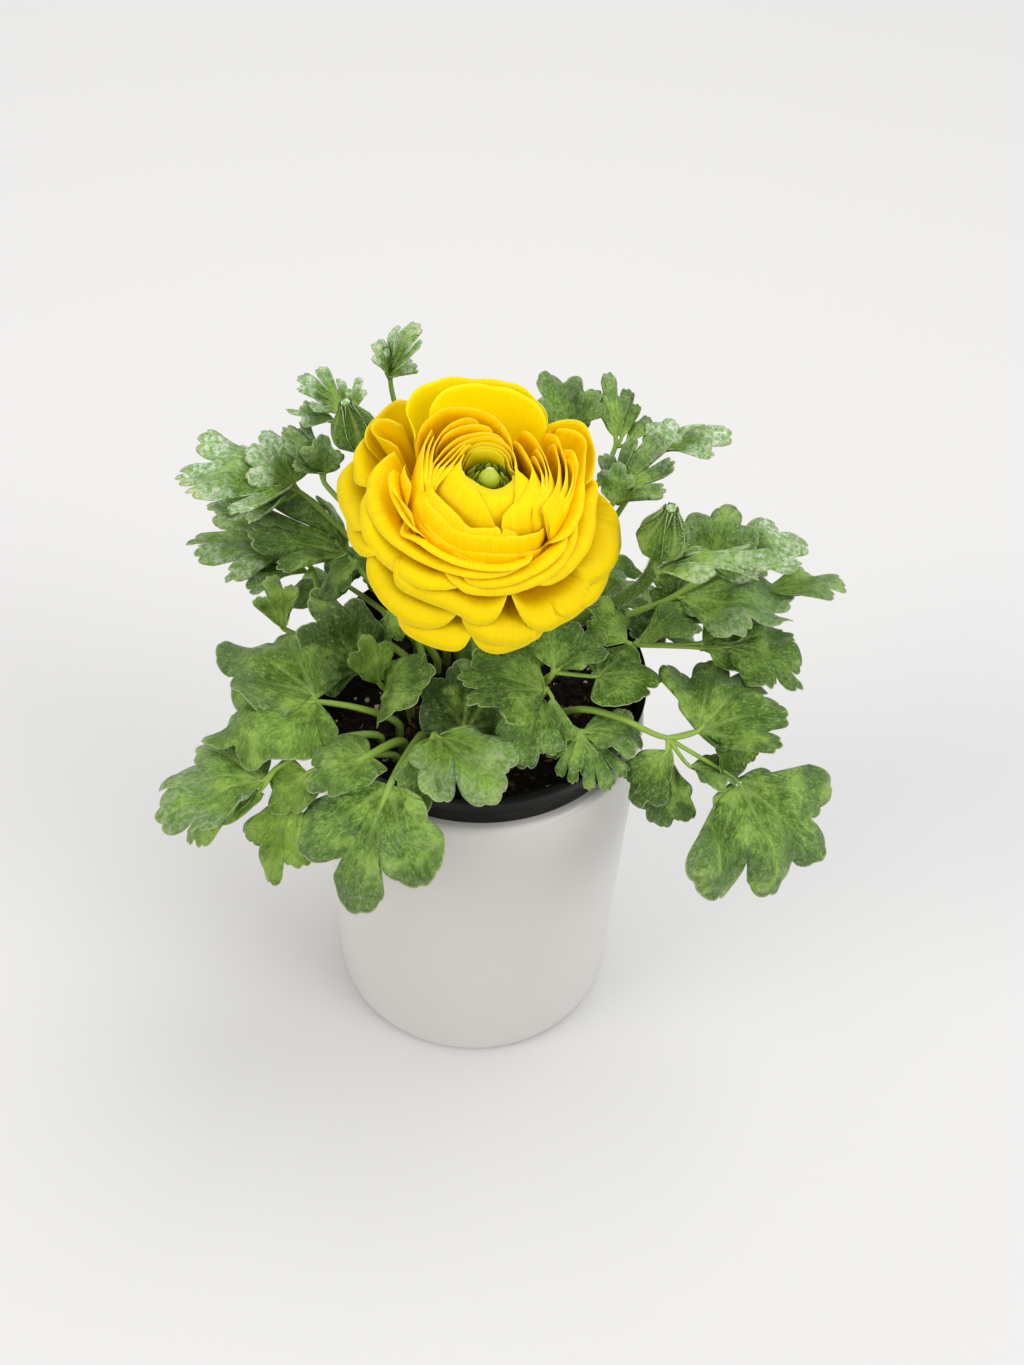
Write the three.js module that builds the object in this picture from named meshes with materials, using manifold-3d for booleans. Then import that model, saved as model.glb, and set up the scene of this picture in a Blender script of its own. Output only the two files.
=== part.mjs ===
// A yellow ranunculus in a black nursery pot, which hangs by its collar in a white cover pot.
// Millimetres, +Z up. The origin is the centre of the cover pot's underside, and the plant's front faces -Y.
import * as THREE from "three";
import { mergeVertices } from "three/addons/utils/BufferGeometryUtils.js";
import Module from "manifold-3d";

const wasm = await Module();
wasm.setup();

// Pots and soil
const COVER_HEIGHT = 150;
const COVER_RADIUS = 60;
const COVER_BASE_RADIUS = 57;
const COVER_WALL = 5;
const COVER_FLOOR = 6;
const COVER_EDGE = 4;
const GAP = 0.3;
const COLLAR_RADIUS = 56.2;
const LIP_RADIUS = 59.5;
const LIP_TOP = 166.5;
const LIP_BAND = 3.2;
const LIP_WIDTH = 2.2;
const NURSERY_WALL = 1.6;
const NURSERY_NECK_RADIUS = 53.2;
const NURSERY_BASE_RADIUS = 42;
const NURSERY_BASE = 58;
const DRAIN_RADIUS = 5;
const DRAIN_CIRCLE = 26;
const DRAIN_COUNT = 4;
const POT_SIDES = 32;
const SOIL_TOP = 157;
const HOLE_DEPTH = 10;
const HOLE_CLEARANCE = 1;
const HOLE_SIDES = 5;
const STALK_FOOT = SOIL_TOP - HOLE_DEPTH + 1;
const STALK_CLEAR = SOIL_TOP + 5;

// Leaves. An outline is polar about the blade's base: each lobe is [angle, reach, half-width],
// with angles in degrees and the reach as a share of the blade's length. Lobes meet at the web.
const BLADE_THICKNESS = 0.9;
const SMALL_BLADE = 28;
const STALK_SIDES = 4;
const NECK_SIDES = 3;
const STALK_RADIUS = 1.5;
const NECK_STEP = 0.04;
const STALK_STEP = 26;
const RING_SHARE = 0.55;
const RIB_END = 0.12;
const RIB_END_RADIUS = 0.3;
const SMALL_LOBE_SAMPLES = [0];
const LOBE_SAMPLES = [-0.66, 0.66];
const BROAD_LOBE_SAMPLES = [-0.82, -0.35, 0.35, 0.82];
const BLADE_KINDS = {
  broad: { web: 0.6, lobes: [[-44, 0.84, 24], [0, 1, 27], [44, 0.84, 24]] },
  round: { web: 0.8, lobes: [[-74, 0.62, 24], [-36, 0.88, 22], [0, 1, 21], [36, 0.88, 22], [74, 0.62, 24]] },
  fan: { web: 0.66, lobes: [[-60, 0.78, 20], [-29, 0.95, 17], [0, 1, 16], [29, 0.95, 17], [60, 0.78, 20]] },
  cut: { web: 0.46, lobes: [[-48, 0.66, 15], [-22, 0.9, 13], [0, 1, 10], [22, 0.9, 13], [48, 0.66, 15]] },
  wedge: { web: 0.76, lobes: [[-26, 0.88, 15], [0, 1, 15], [26, 0.88, 15]] },
  narrow: { web: 0.55, lobes: [[-19, 0.72, 12], [0, 1, 11], [19, 0.72, 12]] },
};

// Each leaf is a stalk from the soil to its joint, and blades from a base to a tip. Roll, in degrees, turns a
// blade about that line. Arch, cup and fold are shares of its length: bowed up, edges up, creased down.
const LEAVES = [
  {
    name: "leaf_front_left", root: [-18, -28], joint: [-27, -60, 172], thick: 1.9,
    blades: [{ kind: "broad", from: [-27, -60, 172], to: [-37, -87, 139], arch: 0.14, cup: -0.05, wide: 0.92 }],
  },
  {
    name: "leaf_left_cupped", root: [-25, -32], joint: [-35, -49, 174], thick: 1.9,
    blades: [{ kind: "round", from: [-35, -49, 173.5], to: [-54, -61, 168], arch: 0.1, cup: 0.2, wide: 0.74 }],
  },
  {
    name: "leaf_left_young", root: [-26, -39], joint: [-52, -52, 169], via: [[-40, -48, 172]],
    blades: [
      { kind: "wedge", from: [-55, -52, 167], to: [-66, -62, 157], arch: 0.1 },
      { kind: "narrow", from: [-57, -57, 164], to: [-67, -73, 136], arch: 0.12, wide: 1.3 },
    ],
  },
  {
    name: "leaf_left_broad", root: [-27, -24], joint: [-55, -27, 175], via: [[-38, -26, 171]],
    blades: [
      { kind: "round", from: [-55, -27, 175], to: [-92, -34, 160], arch: 0.12, cup: -0.08, wide: 0.9 },
      { kind: "wedge", from: [-56, -24, 175], to: [-91, 0, 170], arch: 0.12, wide: 0.9 },
    ],
  },
  {
    name: "leaf_far_left", root: [-33, -30], joint: [-66, -50, 166], via: [[-48, -41, 171.5]],
    blades: [
      { kind: "fan", from: [-70, -53, 163], to: [-105, -47, 151], arch: 0.1 },
      { kind: "narrow", from: [-71, -56, 161], to: [-98, -61, 139], arch: 0.08, wide: 1.2 },
    ],
  },
  {
    name: "leaf_left_upright", root: [-27, -4], joint: [-44, -5, 168], via: [[-36, -5, 166]],
    blades: [{ kind: "round", from: [-44, -5, 168], to: [-59, 10, 191], arch: 0.08, wide: 0.8 }],
  },
  {
    name: "leaf_left_sprout", root: [-33, 1], joint: [-69, 2, 180], via: [[-55, 2, 172]],
    blades: [{ kind: "narrow", from: [-70, 2, 181], to: [-74, 9, 199], arch: 0.05, wide: 1.3 }],
  },
  {
    name: "leaf_inner_left", root: [-24, -14], joint: [-33, -19, 170],
    blades: [{ kind: "round", from: [-33, -19, 170], to: [-14, -20, 186], arch: 0.1, wide: 0.9 }],
  },
  {
    name: "leaf_inner_young", root: [-31, -10], joint: [-35, -12, 170],
    blades: [{ kind: "wedge", from: [-35, -12, 170], to: [-41, -4, 185], arch: 0.1 }],
  },
  {
    name: "leaf_low_left", root: [-20, 3], joint: [-27, 14, 179],
    blades: [{ kind: "cut", from: [-27, 14, 180], to: [-34, 6, 173], arch: 0.15, wide: 1.1 }],
  },
  {
    name: "leaf_middle_left", root: [-16, 8], joint: [-47, 30, 187], via: [[-32, 20, 176]],
    blades: [
      { kind: "fan", from: [-47, 31, 188], to: [-59, 28, 175], arch: 0.12 },
      { kind: "cut", from: [-50, 32, 189], to: [-87, 42, 198], arch: 0.1 },
    ],
  },
  {
    name: "leaf_lower_left", root: [-25, 6], joint: [-63, 29, 185], via: [[-40, 12, 170], [-57, 17, 175]],
    blades: [
      { kind: "cut", from: [-70, 34, 188], to: [-107, 37, 189], arch: 0.1 },
      { kind: "narrow", from: [-64, 27, 185], to: [-93, 25, 183], arch: 0.1, wide: 1.2 },
    ],
  },
  {
    name: "leaf_upper_left", root: [-13, 12], joint: [-68, 44, 208], via: [[-36, 28, 184], [-51, 37, 195]],
    blades: [
      { kind: "cut", from: [-70, 44, 209], to: [-111, 42, 215], arch: 0.1 },
      { kind: "fan", from: [-70, 46, 210], to: [-82, 59, 223], arch: 0.1 },
      { kind: "cut", from: [-72, 42, 206], to: [-99, 40, 202], arch: 0.1 },
    ],
  },
  {
    name: "leaf_high_left", root: [-9, 15], joint: [-59, 45, 212], via: [[-30, 30, 188]],
    blades: [
      { kind: "cut", from: [-60, 47, 214], to: [-73, 53, 229], arch: 0.1 },
      { kind: "wedge", from: [-59, 47, 214], to: [-59, 48, 231], arch: 0.1 },
    ],
  },
  {
    name: "leaf_behind_bud", root: [-5, 18], joint: [-53, 60, 226], via: [[-30, 42, 196]],
    blades: [
      { kind: "narrow", from: [-56, 60, 227], to: [-73, 58, 231], arch: 0.1, wide: 1.2 },
      { kind: "cut", from: [-53, 62, 230], to: [-69, 70, 239], arch: 0.1 },
      { kind: "narrow", from: [-50, 63, 229], to: [-48, 70, 239], arch: 0.1 },
    ],
  },
  {
    name: "leaf_top", root: [-1, 20], joint: [-38, 79, 233], via: [[-20, 48, 192]],
    blades: [
      { kind: "cut", from: [-38, 79, 234], to: [-29, 87, 251], arch: 0.08 },
      { kind: "narrow", from: [-39, 79, 235], to: [-44, 82, 246], arch: 0.08, wide: 1.2 },
    ],
  },
  {
    name: "leaf_top_right", root: [5, 20], joint: [28, 80, 214], via: [[16, 48, 188]],
    blades: [
      { kind: "round", from: [28, 80, 214], to: [17, 88, 232], arch: 0.08 },
      { kind: "wedge", from: [29, 80, 214], to: [38, 89, 226], arch: 0.08 },
    ],
  },
  {
    name: "leaf_feathered", root: [9, 18], joint: [45, 74, 212], via: [[28, 46, 188]],
    blades: [
      { kind: "narrow", from: [45, 76, 214], to: [41, 95, 227], arch: 0.05, wide: 0.9 },
      { kind: "narrow", from: [47, 76, 214], to: [49, 94, 223], arch: 0.05, wide: 0.9 },
      { kind: "narrow", from: [49, 74, 213], to: [58, 87, 216], arch: 0.05 },
    ],
  },
  {
    name: "leaf_high_right", root: [13, 15], joint: [44, 52, 202], via: [[28, 34, 184]],
    blades: [
      { kind: "cut", from: [45, 53, 203], to: [61, 70, 218], arch: 0.08 },
      { kind: "wedge", from: [45, 52, 203], to: [46, 62, 214], arch: 0.08 },
    ],
  },
  {
    name: "leaf_folded", root: [17, 12], joint: [57, 68, 210], via: [[36, 42, 182]],
    blades: [
      { kind: "narrow", from: [57, 70, 212], to: [88, 76, 218], arch: 0.12, fold: 0.2 },
      { kind: "wedge", from: [57, 70, 212], to: [67, 82, 219], arch: 0.1 },
    ],
  },
  {
    name: "leaf_right_back", root: [19, 6], joint: [66, 10, 198], via: [[45, 8, 186]],
    blades: [
      { kind: "round", from: [78, 17, 207], to: [84, 34, 220], arch: 0.1 },
      { kind: "wedge", from: [80, 15, 205], to: [112, 30, 209], arch: 0.1, wide: 0.8 },
      { kind: "fan", from: [68, 9, 198], to: [108, 16, 195], arch: 0.1, wide: 0.8 },
      { kind: "narrow", from: [98, 16, 195], to: [128, 30, 190], arch: 0.05 },
    ],
  },
  {
    name: "leaf_right_middle", root: [21, -2], joint: [52, -4, 187], via: [[38, -3, 179]],
    blades: [
      { kind: "cut", from: [50, -4, 188], to: [35, 2, 198], arch: 0.1 },
      { kind: "narrow", from: [54, -3, 188], to: [78, 5, 197], arch: 0.08, wide: 1.2 },
      { kind: "wedge", from: [76, -4, 190], to: [91, 3, 195], arch: 0.1 },
      { kind: "wedge", from: [76, -6, 189], to: [92, -9, 184], arch: 0.1 },
      { kind: "fan", from: [84, -5, 189], to: [113, -2, 179], arch: 0.1, wide: 0.9 },
    ],
  },
  {
    name: "leaf_right_low", root: [24, -19], joint: [64, -38, 178], via: [[36, -27, 178], [48, -32, 180]],
    blades: [
      { kind: "fan", from: [74, -37, 181], to: [96, -14, 183], arch: 0.1, wide: 1.1 },
      { kind: "wedge", from: [83, -35, 181], to: [89, -43, 165], arch: 0.1 },
      { kind: "wedge", from: [72, -45, 172], to: [88, -47, 168], arch: 0.1 },
      { kind: "fan", from: [88, -48, 169], to: [107, -69, 138], arch: 0.12, wide: 1.05 },
      { kind: "wedge", from: [64, -42, 176], to: [55, -51, 159], arch: 0.12 },
      { kind: "wedge", from: [66, -44, 172], to: [63, -54, 150], arch: 0.12 },
    ],
  },
  {
    name: "leaf_front_right", root: [19, -27], joint: [34, -36, 177], via: [[25, -31, 175]],
    blades: [
      { kind: "narrow", from: [34, -37, 177], to: [33, -51, 167], arch: 0.1, wide: 1.2 },
      { kind: "wedge", from: [35, -37, 177], to: [46, -52, 165], arch: 0.1 },
      { kind: "wedge", from: [36, -36, 177], to: [58, -35, 172], arch: 0.1 },
    ],
  },
  {
    name: "leaf_centre_left", root: [15, -21], joint: [23, -25, 185],
    blades: [
      { kind: "fan", from: [22, -26, 185], to: [-8, -25, 188], arch: 0.1, wide: 0.9 },
      { kind: "wedge", from: [21, -28, 184], to: [16, -48, 171], arch: 0.12 },
      { kind: "narrow", from: [25, -28, 184], to: [27, -44, 171], arch: 0.1, wide: 1.2 },
    ],
  },
  {
    name: "leaf_centre_right", root: [16, -13], joint: [25, -20, 188],
    blades: [
      { kind: "wedge", from: [25, -19, 189], to: [24, -5, 203], arch: 0.1 },
      { kind: "wedge", from: [27, -19, 189], to: [42, -7, 195], arch: 0.1 },
      { kind: "round", from: [40, -20, 187], to: [62, -17, 184], arch: 0.1 },
    ],
  },
  {
    name: "leaf_front", root: [-10, -34], joint: [-14, -40, 176],
    blades: [
      { kind: "wedge", from: [-14, -41, 176], to: [-17, -65, 165], arch: 0.12, wide: 0.75 },
      { kind: "fan", from: [-12, -41, 176], to: [3, -66, 169], arch: 0.12 },
    ],
  },
  {
    name: "leaf_inner_dark", root: [-2, -26], joint: [-4, -29, 167],
    blades: [{ kind: "round", from: [-4, -29, 167], to: [-6, -11, 183], arch: 0.1 }],
  },
];

// Bloom. Its petals stand in layers, inside out, each a patch of a bowl about the bloom's axis, which leans to
// the front and a little to the right. The spread is half a petal's width in degrees.
const BLOOM_BASE = [-2.5, 6, 220];
const BLOOM_LEAN = 13;
const BLOOM_SIDE_LEAN = 5;
const PETAL_THICKNESS = 0.8;
const PETAL_LAYERS = [
  { count: 3, rim: 9, height: 43, bulge: 20, spread: 66 },
  { count: 4, rim: 14, height: 42, bulge: 26, spread: 54 },
  { count: 4, rim: 20, height: 39.5, bulge: 31, spread: 54 },
  { count: 5, rim: 26, height: 36, bulge: 35, spread: 45 },
  { count: 5, rim: 32, height: 31, bulge: 37, spread: 45 },
  { count: 6, rim: 39.5, height: 22, bulge: 36, spread: 37 },
  { count: 7, rim: 48, height: 12, bulge: 32, spread: 33 },
];
const PETAL_START = 0.34;
const PETAL_COLUMNS = [-1, -0.4, 0.4, 1];
const PETAL_ROWS = [0, 0.55, 1];
const PETAL_TUCK = 0.9;
const PETAL_BACK_LIFT = 20;
const PETAL_BACK_DRAW = 4;
const GOLDEN_ANGLE = 137.5;
const CORE = [[4, 0.6], [13, 3], [20, 9], [21, 19], [17, 27], [12, 34], [9.4, 36], [7.4, 36], [7.2, 28]];
const CORE_SIDES = 16;
const CENTRE_RADIUS = 6.8;
const CENTRE_BOTTOM = 28.3;
const CENTRE_TOP = 39;
const KNOB_RADIUS = 2.4;
const BLOOM_ROOT = [0, 2];
const BLOOM_STEM_RADIUS = 2.8;
const SEPAL_COUNT = 5;
const SEPAL_LENGTH = 19;

// Buds, each a ribbed globe at the end of its stem, with its own small leaf where one shows.
const BUDS = [
  {
    name: "bud_left", root: [-5, 8], via: [[-12, 18, 185], [-34, 36, 210]], centre: [-48, 47, 236],
    lean: [-0.25, 0.12, 1], radius: 7.4, length: 18, thick: 2, bracts: [],
  },
  {
    name: "bud_right", root: [10, 5], via: [[28, 9, 180], [50, 9, 206]], centre: [58, -1, 236],
    lean: [0.1, 0, 1], radius: 7.8, length: 20, thick: 2.8,
    bracts: [{ kind: "cut", from: [57, -5, 222], to: [94, -1, 226], arch: 0.12, wide: 0.75 }],
  },
];
const BUD_SIDES = 10;
const BUD_RIBS = 5;
const BUD_PROFILE = [[0.22, 0], [0.72, 0.1], [1, 0.36], [0.92, 0.62], [0.55, 0.86], [0.16, 1]];

// Leaves behind the bloom, out of the photograph's sight: a low ring over the lip, and others above its gaps.
// Each stands at an angle in degrees about the pot's axis, and its places are distances from that axis.
const BACK_LOW = [24, 55, 86, 117, 146];
const BACK_HIGH = [34, 66, 98, 130];
const LOW_BACK_LEAF = { kind: "broad", wide: 1, rootAt: 29, jointAt: 62, tipAt: 88, rise: 172, fall: 158 };
const HIGH_BACK_LEAF = { kind: "fan", wide: 0.75, rootAt: 33, jointAt: 42, tipAt: 70, rise: 174, fall: 176 };

const COLOURS = {
  ceramic: 0xf1f0ee,
  plastic: 0x14161a,
  soil: 0x2b211b,
  petal: 0xf7cf06,
  centre: 0x7d9a33,
  leaf: 0x4f7d33,
  stem: 0x6f9a45,
};

const radians = THREE.MathUtils.degToRad;
const vector = (place) => new THREE.Vector3(...place);

// A closed mesh as a manifold solid.
function solidOf(positions, triangles) {
  const mesh = new wasm.Mesh({
    numProp: 3,
    vertProperties: Float32Array.from(positions),
    triVerts: Uint32Array.from(triangles),
  });
  return new wasm.Manifold(mesh);
}

function solidOfGeometry(geometry) {
  const bare = new THREE.BufferGeometry().setAttribute("position", geometry.getAttribute("position"));
  bare.setIndex(geometry.index);
  const merged = mergeVertices(bare, 1e-3);
  return solidOf(merged.attributes.position.array, merged.index.array);
}

const join = (solids) => solids.reduce((whole, next) => whole.add(next));

// Rings with the same number of points, listed anticlockwise seen from the far end, as one closed body.
function loft(rings) {
  const sides = rings[0].length;
  const points = rings.flat();
  const triangles = [];
  for (let ring = 0; ring + 1 < rings.length; ring += 1) {
    for (let side = 0; side < sides; side += 1) {
      const a = ring * sides + side;
      const b = ring * sides + ((side + 1) % sides);
      triangles.push(a, b, b + sides, a, b + sides, a + sides);
    }
  }
  const middle = (ring) => ring.reduce((sum, p) => sum.add(p), new THREE.Vector3()).divideScalar(sides);
  const first = points.length;
  points.push(middle(rings[0]), middle(rings.at(-1)));
  const last = (rings.length - 1) * sides;
  for (let side = 0; side < sides; side += 1) {
    const next = (side + 1) % sides;
    triangles.push(first, next, side, first + 1, last + side, last + next);
  }
  return solidOf(points.flatMap((p) => p.toArray()), triangles);
}

// A round bar through the centres of its rings, with a radius for each.
function bar(centres, radii, sides = STALK_SIDES) {
  const last = centres.length - 1;
  const normal = new THREE.Vector3(0, -1, 0);
  return loft(
    centres.map((centre, place) => {
      const ahead = centres[Math.min(place + 1, last)];
      const along = ahead.clone().sub(centres[Math.max(place - 1, 0)]).normalize();
      normal.addScaledVector(along, -normal.dot(along)).normalize();
      const across = new THREE.Vector3().crossVectors(along, normal);
      return Array.from({ length: sides }, (_, side) => {
        const turn = (2 * Math.PI * side) / sides;
        return centre
          .clone()
          .addScaledVector(normal, radii[place] * Math.cos(turn))
          .addScaledVector(across, radii[place] * Math.sin(turn));
      });
    }),
  );
}

// A stalk's centres: its foot, then even steps along a smooth line from where it is clear of the soil.
function stalkLine(root, places) {
  const foot = vector([...root, STALK_FOOT]);
  const line = new THREE.CatmullRomCurve3([foot, vector([...root, STALK_CLEAR]), ...places]);
  const clear = 1 / (places.length + 1);
  const steps = Math.max(2, Math.round(line.getLength() / STALK_STEP));
  const above = Array.from({ length: steps + 1 }, (_, step) =>
    line.getPoint(clear + ((1 - clear) * step) / steps));
  return [foot, ...above];
}

const taper = (from, to, steps) =>
  Array.from({ length: steps + 1 }, (_, step) => from + ((to - from) * step) / Math.max(1, steps));

// Two copies of one net, a thickness apart: faces index its points, and edge lists those round it.
function plate(upper, lower, faces, edge) {
  const count = upper.length;
  const triangles = [];
  for (const [a, b, c] of faces) triangles.push(a, b, c, c + count, b + count, a + count);
  edge.forEach((a, place) => {
    const b = edge[(place + 1) % edge.length];
    triangles.push(a + count, b + count, b, a + count, b, a);
  });
  return solidOf([...upper, ...lower].flatMap((p) => p.toArray()), triangles);
}

// The distance from a blade's base to its outline at an angle in degrees, as a share of its length.
function reachAt(kind, angle) {
  const { web, lobes } = BLADE_KINDS[kind];
  const round = (share) => Math.cbrt(Math.max(0, 1 - Math.abs(share) ** 2.5));
  const span = lobes.at(-1)[0] + lobes.at(-1)[2];
  const between = web * round(angle / span);
  return Math.max(0.12, between, ...lobes.map(([at, reach, half]) => reach * round((angle - at) / half)));
}

// The angles of a blade's outline, and the fewer angles of the ring halfway out.
function bladeAngles(kind, size) {
  const { lobes } = BLADE_KINDS[kind];
  const first = lobes[0][0] - lobes[0][2];
  const last = lobes.at(-1)[0] + lobes.at(-1)[2];
  const usual = kind === "broad" ? BROAD_LOBE_SAMPLES : LOBE_SAMPLES;
  const samples = size < SMALL_BLADE ? SMALL_LOBE_SAMPLES : usual;
  const outline = [first];
  const ring = [first];
  lobes.forEach(([at, , half], place) => {
    if (place > 0) {
      const before = lobes[place - 1];
      const cleft = (before[0] + before[2] + at - half) / 2;
      outline.push(cleft);
      if (kind === "broad") ring.push(cleft);
    }
    for (const sample of samples) outline.push(at + sample * half);
    ring.push(at);
  });
  outline.push(last);
  ring.push(last);
  return { outline, ring };
}

// A blade's own axes: along it, across it, and out of its upper face.
function bladeAxes({ from, to, roll = 0 }) {
  const along = vector(to).sub(vector(from));
  const size = along.length();
  along.normalize();
  const up = new THREE.Vector3(0, 0, 1).addScaledVector(along, -along.z).normalize();
  up.applyAxisAngle(along, radians(roll));
  const across = new THREE.Vector3().crossVectors(up, along);
  return { size, along, across, up };
}

// A point of the blade's middle surface, at an angle and a share of the way to the outline.
function bladePoint(blade, axes, angle, share) {
  const { kind, from, wide = 1, arch = 0, cup = 0, fold = 0, wave = 0.03 } = blade;
  const far = share * reachAt(kind, angle);
  const a = far * Math.cos(radians(angle));
  const b = far * Math.sin(radians(angle)) * wide;
  const ripple = wave * far * far * Math.sin(radians(7 * angle) + from[0]);
  const height = arch * 4 * a * (1 - a) + cup * b * b - fold * Math.abs(b) + ripple;
  return vector(from)
    .addScaledVector(axes.along, a * axes.size)
    .addScaledVector(axes.across, b * axes.size)
    .addScaledVector(axes.up, height * axes.size);
}

// The triangles between two lists of angles, whose points start at the given indices.
function between(inner, innerStart, outer, outerStart) {
  const faces = [];
  let i = 0;
  let o = 0;
  while (i + 1 < inner.length || o + 1 < outer.length) {
    const stepOut = i + 1 === inner.length || (o + 1 < outer.length && outer[o + 1] <= inner[i + 1]);
    if (stepOut) {
      faces.push([innerStart + i, outerStart + o, outerStart + o + 1]);
      o += 1;
    } else {
      faces.push([innerStart + i, outerStart + o, innerStart + i + 1]);
      i += 1;
    }
  }
  return faces;
}

function blade(row) {
  const axes = bladeAxes(row);
  const angles = bladeAngles(row.kind, axes.size);
  const outline = angles.outline;
  const ring = axes.size < SMALL_BLADE ? [] : angles.ring;
  const net = [bladePoint(row, axes, 0, 0)];
  for (const angle of ring) net.push(bladePoint(row, axes, angle, RING_SHARE));
  for (const angle of outline) net.push(bladePoint(row, axes, angle, 1));
  const inner = ring.length ? ring : outline;
  const faces = inner.slice(1).map((_, place) => [0, place + 1, place + 2]);
  const rim = ring.length + 1;
  if (ring.length) faces.push(...between(ring, 1, outline, rim));
  const edge = [0, ...outline.map((_, place) => rim + place)];
  if (ring.length) edge.splice(1, 0, 1);
  if (ring.length) edge.push(ring.length);
  const half = BLADE_THICKNESS / 2;
  const upper = net.map((p) => p.clone().addScaledVector(axes.up, half));
  const lower = net.map((p) => p.clone().addScaledVector(axes.up, -half));
  return plate(upper, lower, faces, edge);
}

// The start of a blade's midrib: its base, and a point just inside the blade.
function ribOf(row) {
  const axes = bladeAxes(row);
  const share = axes.size < SMALL_BLADE ? 1 : RING_SHARE;
  const base = bladePoint(row, axes, 0, 0);
  return [base, base.clone().lerp(bladePoint(row, axes, 0, share), RIB_END / share)];
}

// A leaf's stalk, straight up out of its hole, on to the joint and into the first blade, with a neck to each
// further blade. Each neck is a little thinner than the last, so that no two faces nearly coincide.
function leaf({ root, joint, via = [], thick = STALK_RADIUS, blades }) {
  const start = vector(joint);
  const solids = blades.flatMap((row, place) => {
    const stalk = place === 0;
    const [base, inside] = ribOf(row);
    const bend = base.distanceTo(start) > 1 ? [base] : [];
    const line = stalk ? stalkLine(root, [...via.map(vector), start]) : [start];
    const centres = [...line, ...bend, inside];
    const neck = thick * (0.62 - NECK_STEP * place);
    const [first, last] = stalk ? [thick, thick * 0.6] : [neck, neck * 0.85];
    const radii = [...taper(first, last, centres.length - 2), RIB_END_RADIUS];
    return [bar(centres, radii, stalk ? STALK_SIDES : NECK_SIDES), blade(row)];
  });
  return join(solids);
}

// Pots, as profiles of [radius, height] turned about the axis.
function turned(profile, sides = POT_SIDES) {
  const points = profile.map(([radius, height]) => new THREE.Vector2(radius, height));
  const geometry = new THREE.LatheGeometry([...points, points[0]], sides);
  geometry.rotateX(Math.PI / 2);
  return solidOfGeometry(geometry);
}

function arc(centre, radius, fromDegrees, toDegrees, steps) {
  return Array.from({ length: steps + 1 }, (_, step) => {
    const turn = radians(fromDegrees + ((toDegrees - fromDegrees) * step) / steps);
    return [centre[0] + radius * Math.cos(turn), centre[1] + radius * Math.sin(turn)];
  });
}

function coverPot() {
  const lip = COVER_WALL / 2;
  const inner = COVER_RADIUS - COVER_WALL;
  return turned([
    [0, 0],
    ...arc([COVER_BASE_RADIUS - COVER_EDGE, COVER_EDGE], COVER_EDGE, -90, 0, 2),
    ...arc([COVER_RADIUS - lip, COVER_HEIGHT - lip], lip, 0, 90, 2),
    [inner + 0.6, COVER_HEIGHT],
    [inner, COVER_HEIGHT - 0.6],
    [COVER_BASE_RADIUS - COVER_WALL, COVER_FLOOR],
    [0, COVER_FLOOR],
  ]);
}

function nurseryPot() {
  const seat = COVER_HEIGHT + GAP;
  const pot = turned([
    [0, NURSERY_BASE],
    [NURSERY_BASE_RADIUS, NURSERY_BASE],
    [NURSERY_NECK_RADIUS, seat],
    [COLLAR_RADIUS, seat],
    [LIP_RADIUS - 1.1, LIP_TOP - LIP_BAND],
    [LIP_RADIUS - 0.2, LIP_TOP - LIP_BAND],
    [LIP_RADIUS, LIP_TOP],
    [LIP_RADIUS - LIP_WIDTH, LIP_TOP],
    [COLLAR_RADIUS - NURSERY_WALL, seat + NURSERY_WALL],
    [NURSERY_NECK_RADIUS - NURSERY_WALL, seat + NURSERY_WALL],
    [NURSERY_BASE_RADIUS - NURSERY_WALL, NURSERY_BASE + NURSERY_WALL],
    [0, NURSERY_BASE + NURSERY_WALL],
  ]);
  const drains = Array.from({ length: DRAIN_COUNT }, (_, place) => {
    const turn = (2 * Math.PI * place) / DRAIN_COUNT;
    const drill = new THREE.CylinderGeometry(DRAIN_RADIUS, DRAIN_RADIUS, 4 * NURSERY_WALL, 8);
    drill.rotateX(Math.PI / 2);
    drill.translate(DRAIN_CIRCLE * Math.cos(turn), DRAIN_CIRCLE * Math.sin(turn), NURSERY_BASE);
    return solidOfGeometry(drill);
  });
  return drains.reduce((whole, drill) => whole.subtract(drill), pot);
}

function soil(stalks) {
  const slope = (COLLAR_RADIUS - LIP_RADIUS) / (COVER_HEIGHT - LIP_TOP);
  const top = COLLAR_RADIUS - NURSERY_WALL + slope * (SOIL_TOP - COVER_HEIGHT) - 2 * GAP;
  const ledge = COVER_HEIGHT + NURSERY_WALL + 2 * GAP;
  const floor = NURSERY_BASE + NURSERY_WALL + GAP;
  const body = turned([
    [0, floor],
    [NURSERY_BASE_RADIUS - NURSERY_WALL - 2 * GAP, floor],
    [NURSERY_NECK_RADIUS - NURSERY_WALL - 2 * GAP, ledge],
    [COLLAR_RADIUS - NURSERY_WALL - 2 * GAP, ledge],
    [top, SOIL_TOP],
    [0, SOIL_TOP],
  ]);
  const holes = stalks.map(({ root, thick = STALK_RADIUS }) => {
    const wide = thick + HOLE_CLEARANCE;
    const hole = new THREE.CylinderGeometry(wide, wide, 2 * HOLE_DEPTH, HOLE_SIDES);
    hole.rotateX(Math.PI / 2);
    hole.translate(...root, SOIL_TOP);
    return solidOfGeometry(hole);
  });
  return body.subtract(join(holes));
}

// The bloom's own frame, in which Z is its axis and its petals are made.
function bloomFrame() {
  const turn = new THREE.Euler(radians(BLOOM_LEAN), radians(BLOOM_SIDE_LEAN), 0);
  return new THREE.Matrix4().makeRotationFromEuler(turn).setPosition(...BLOOM_BASE);
}

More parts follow.
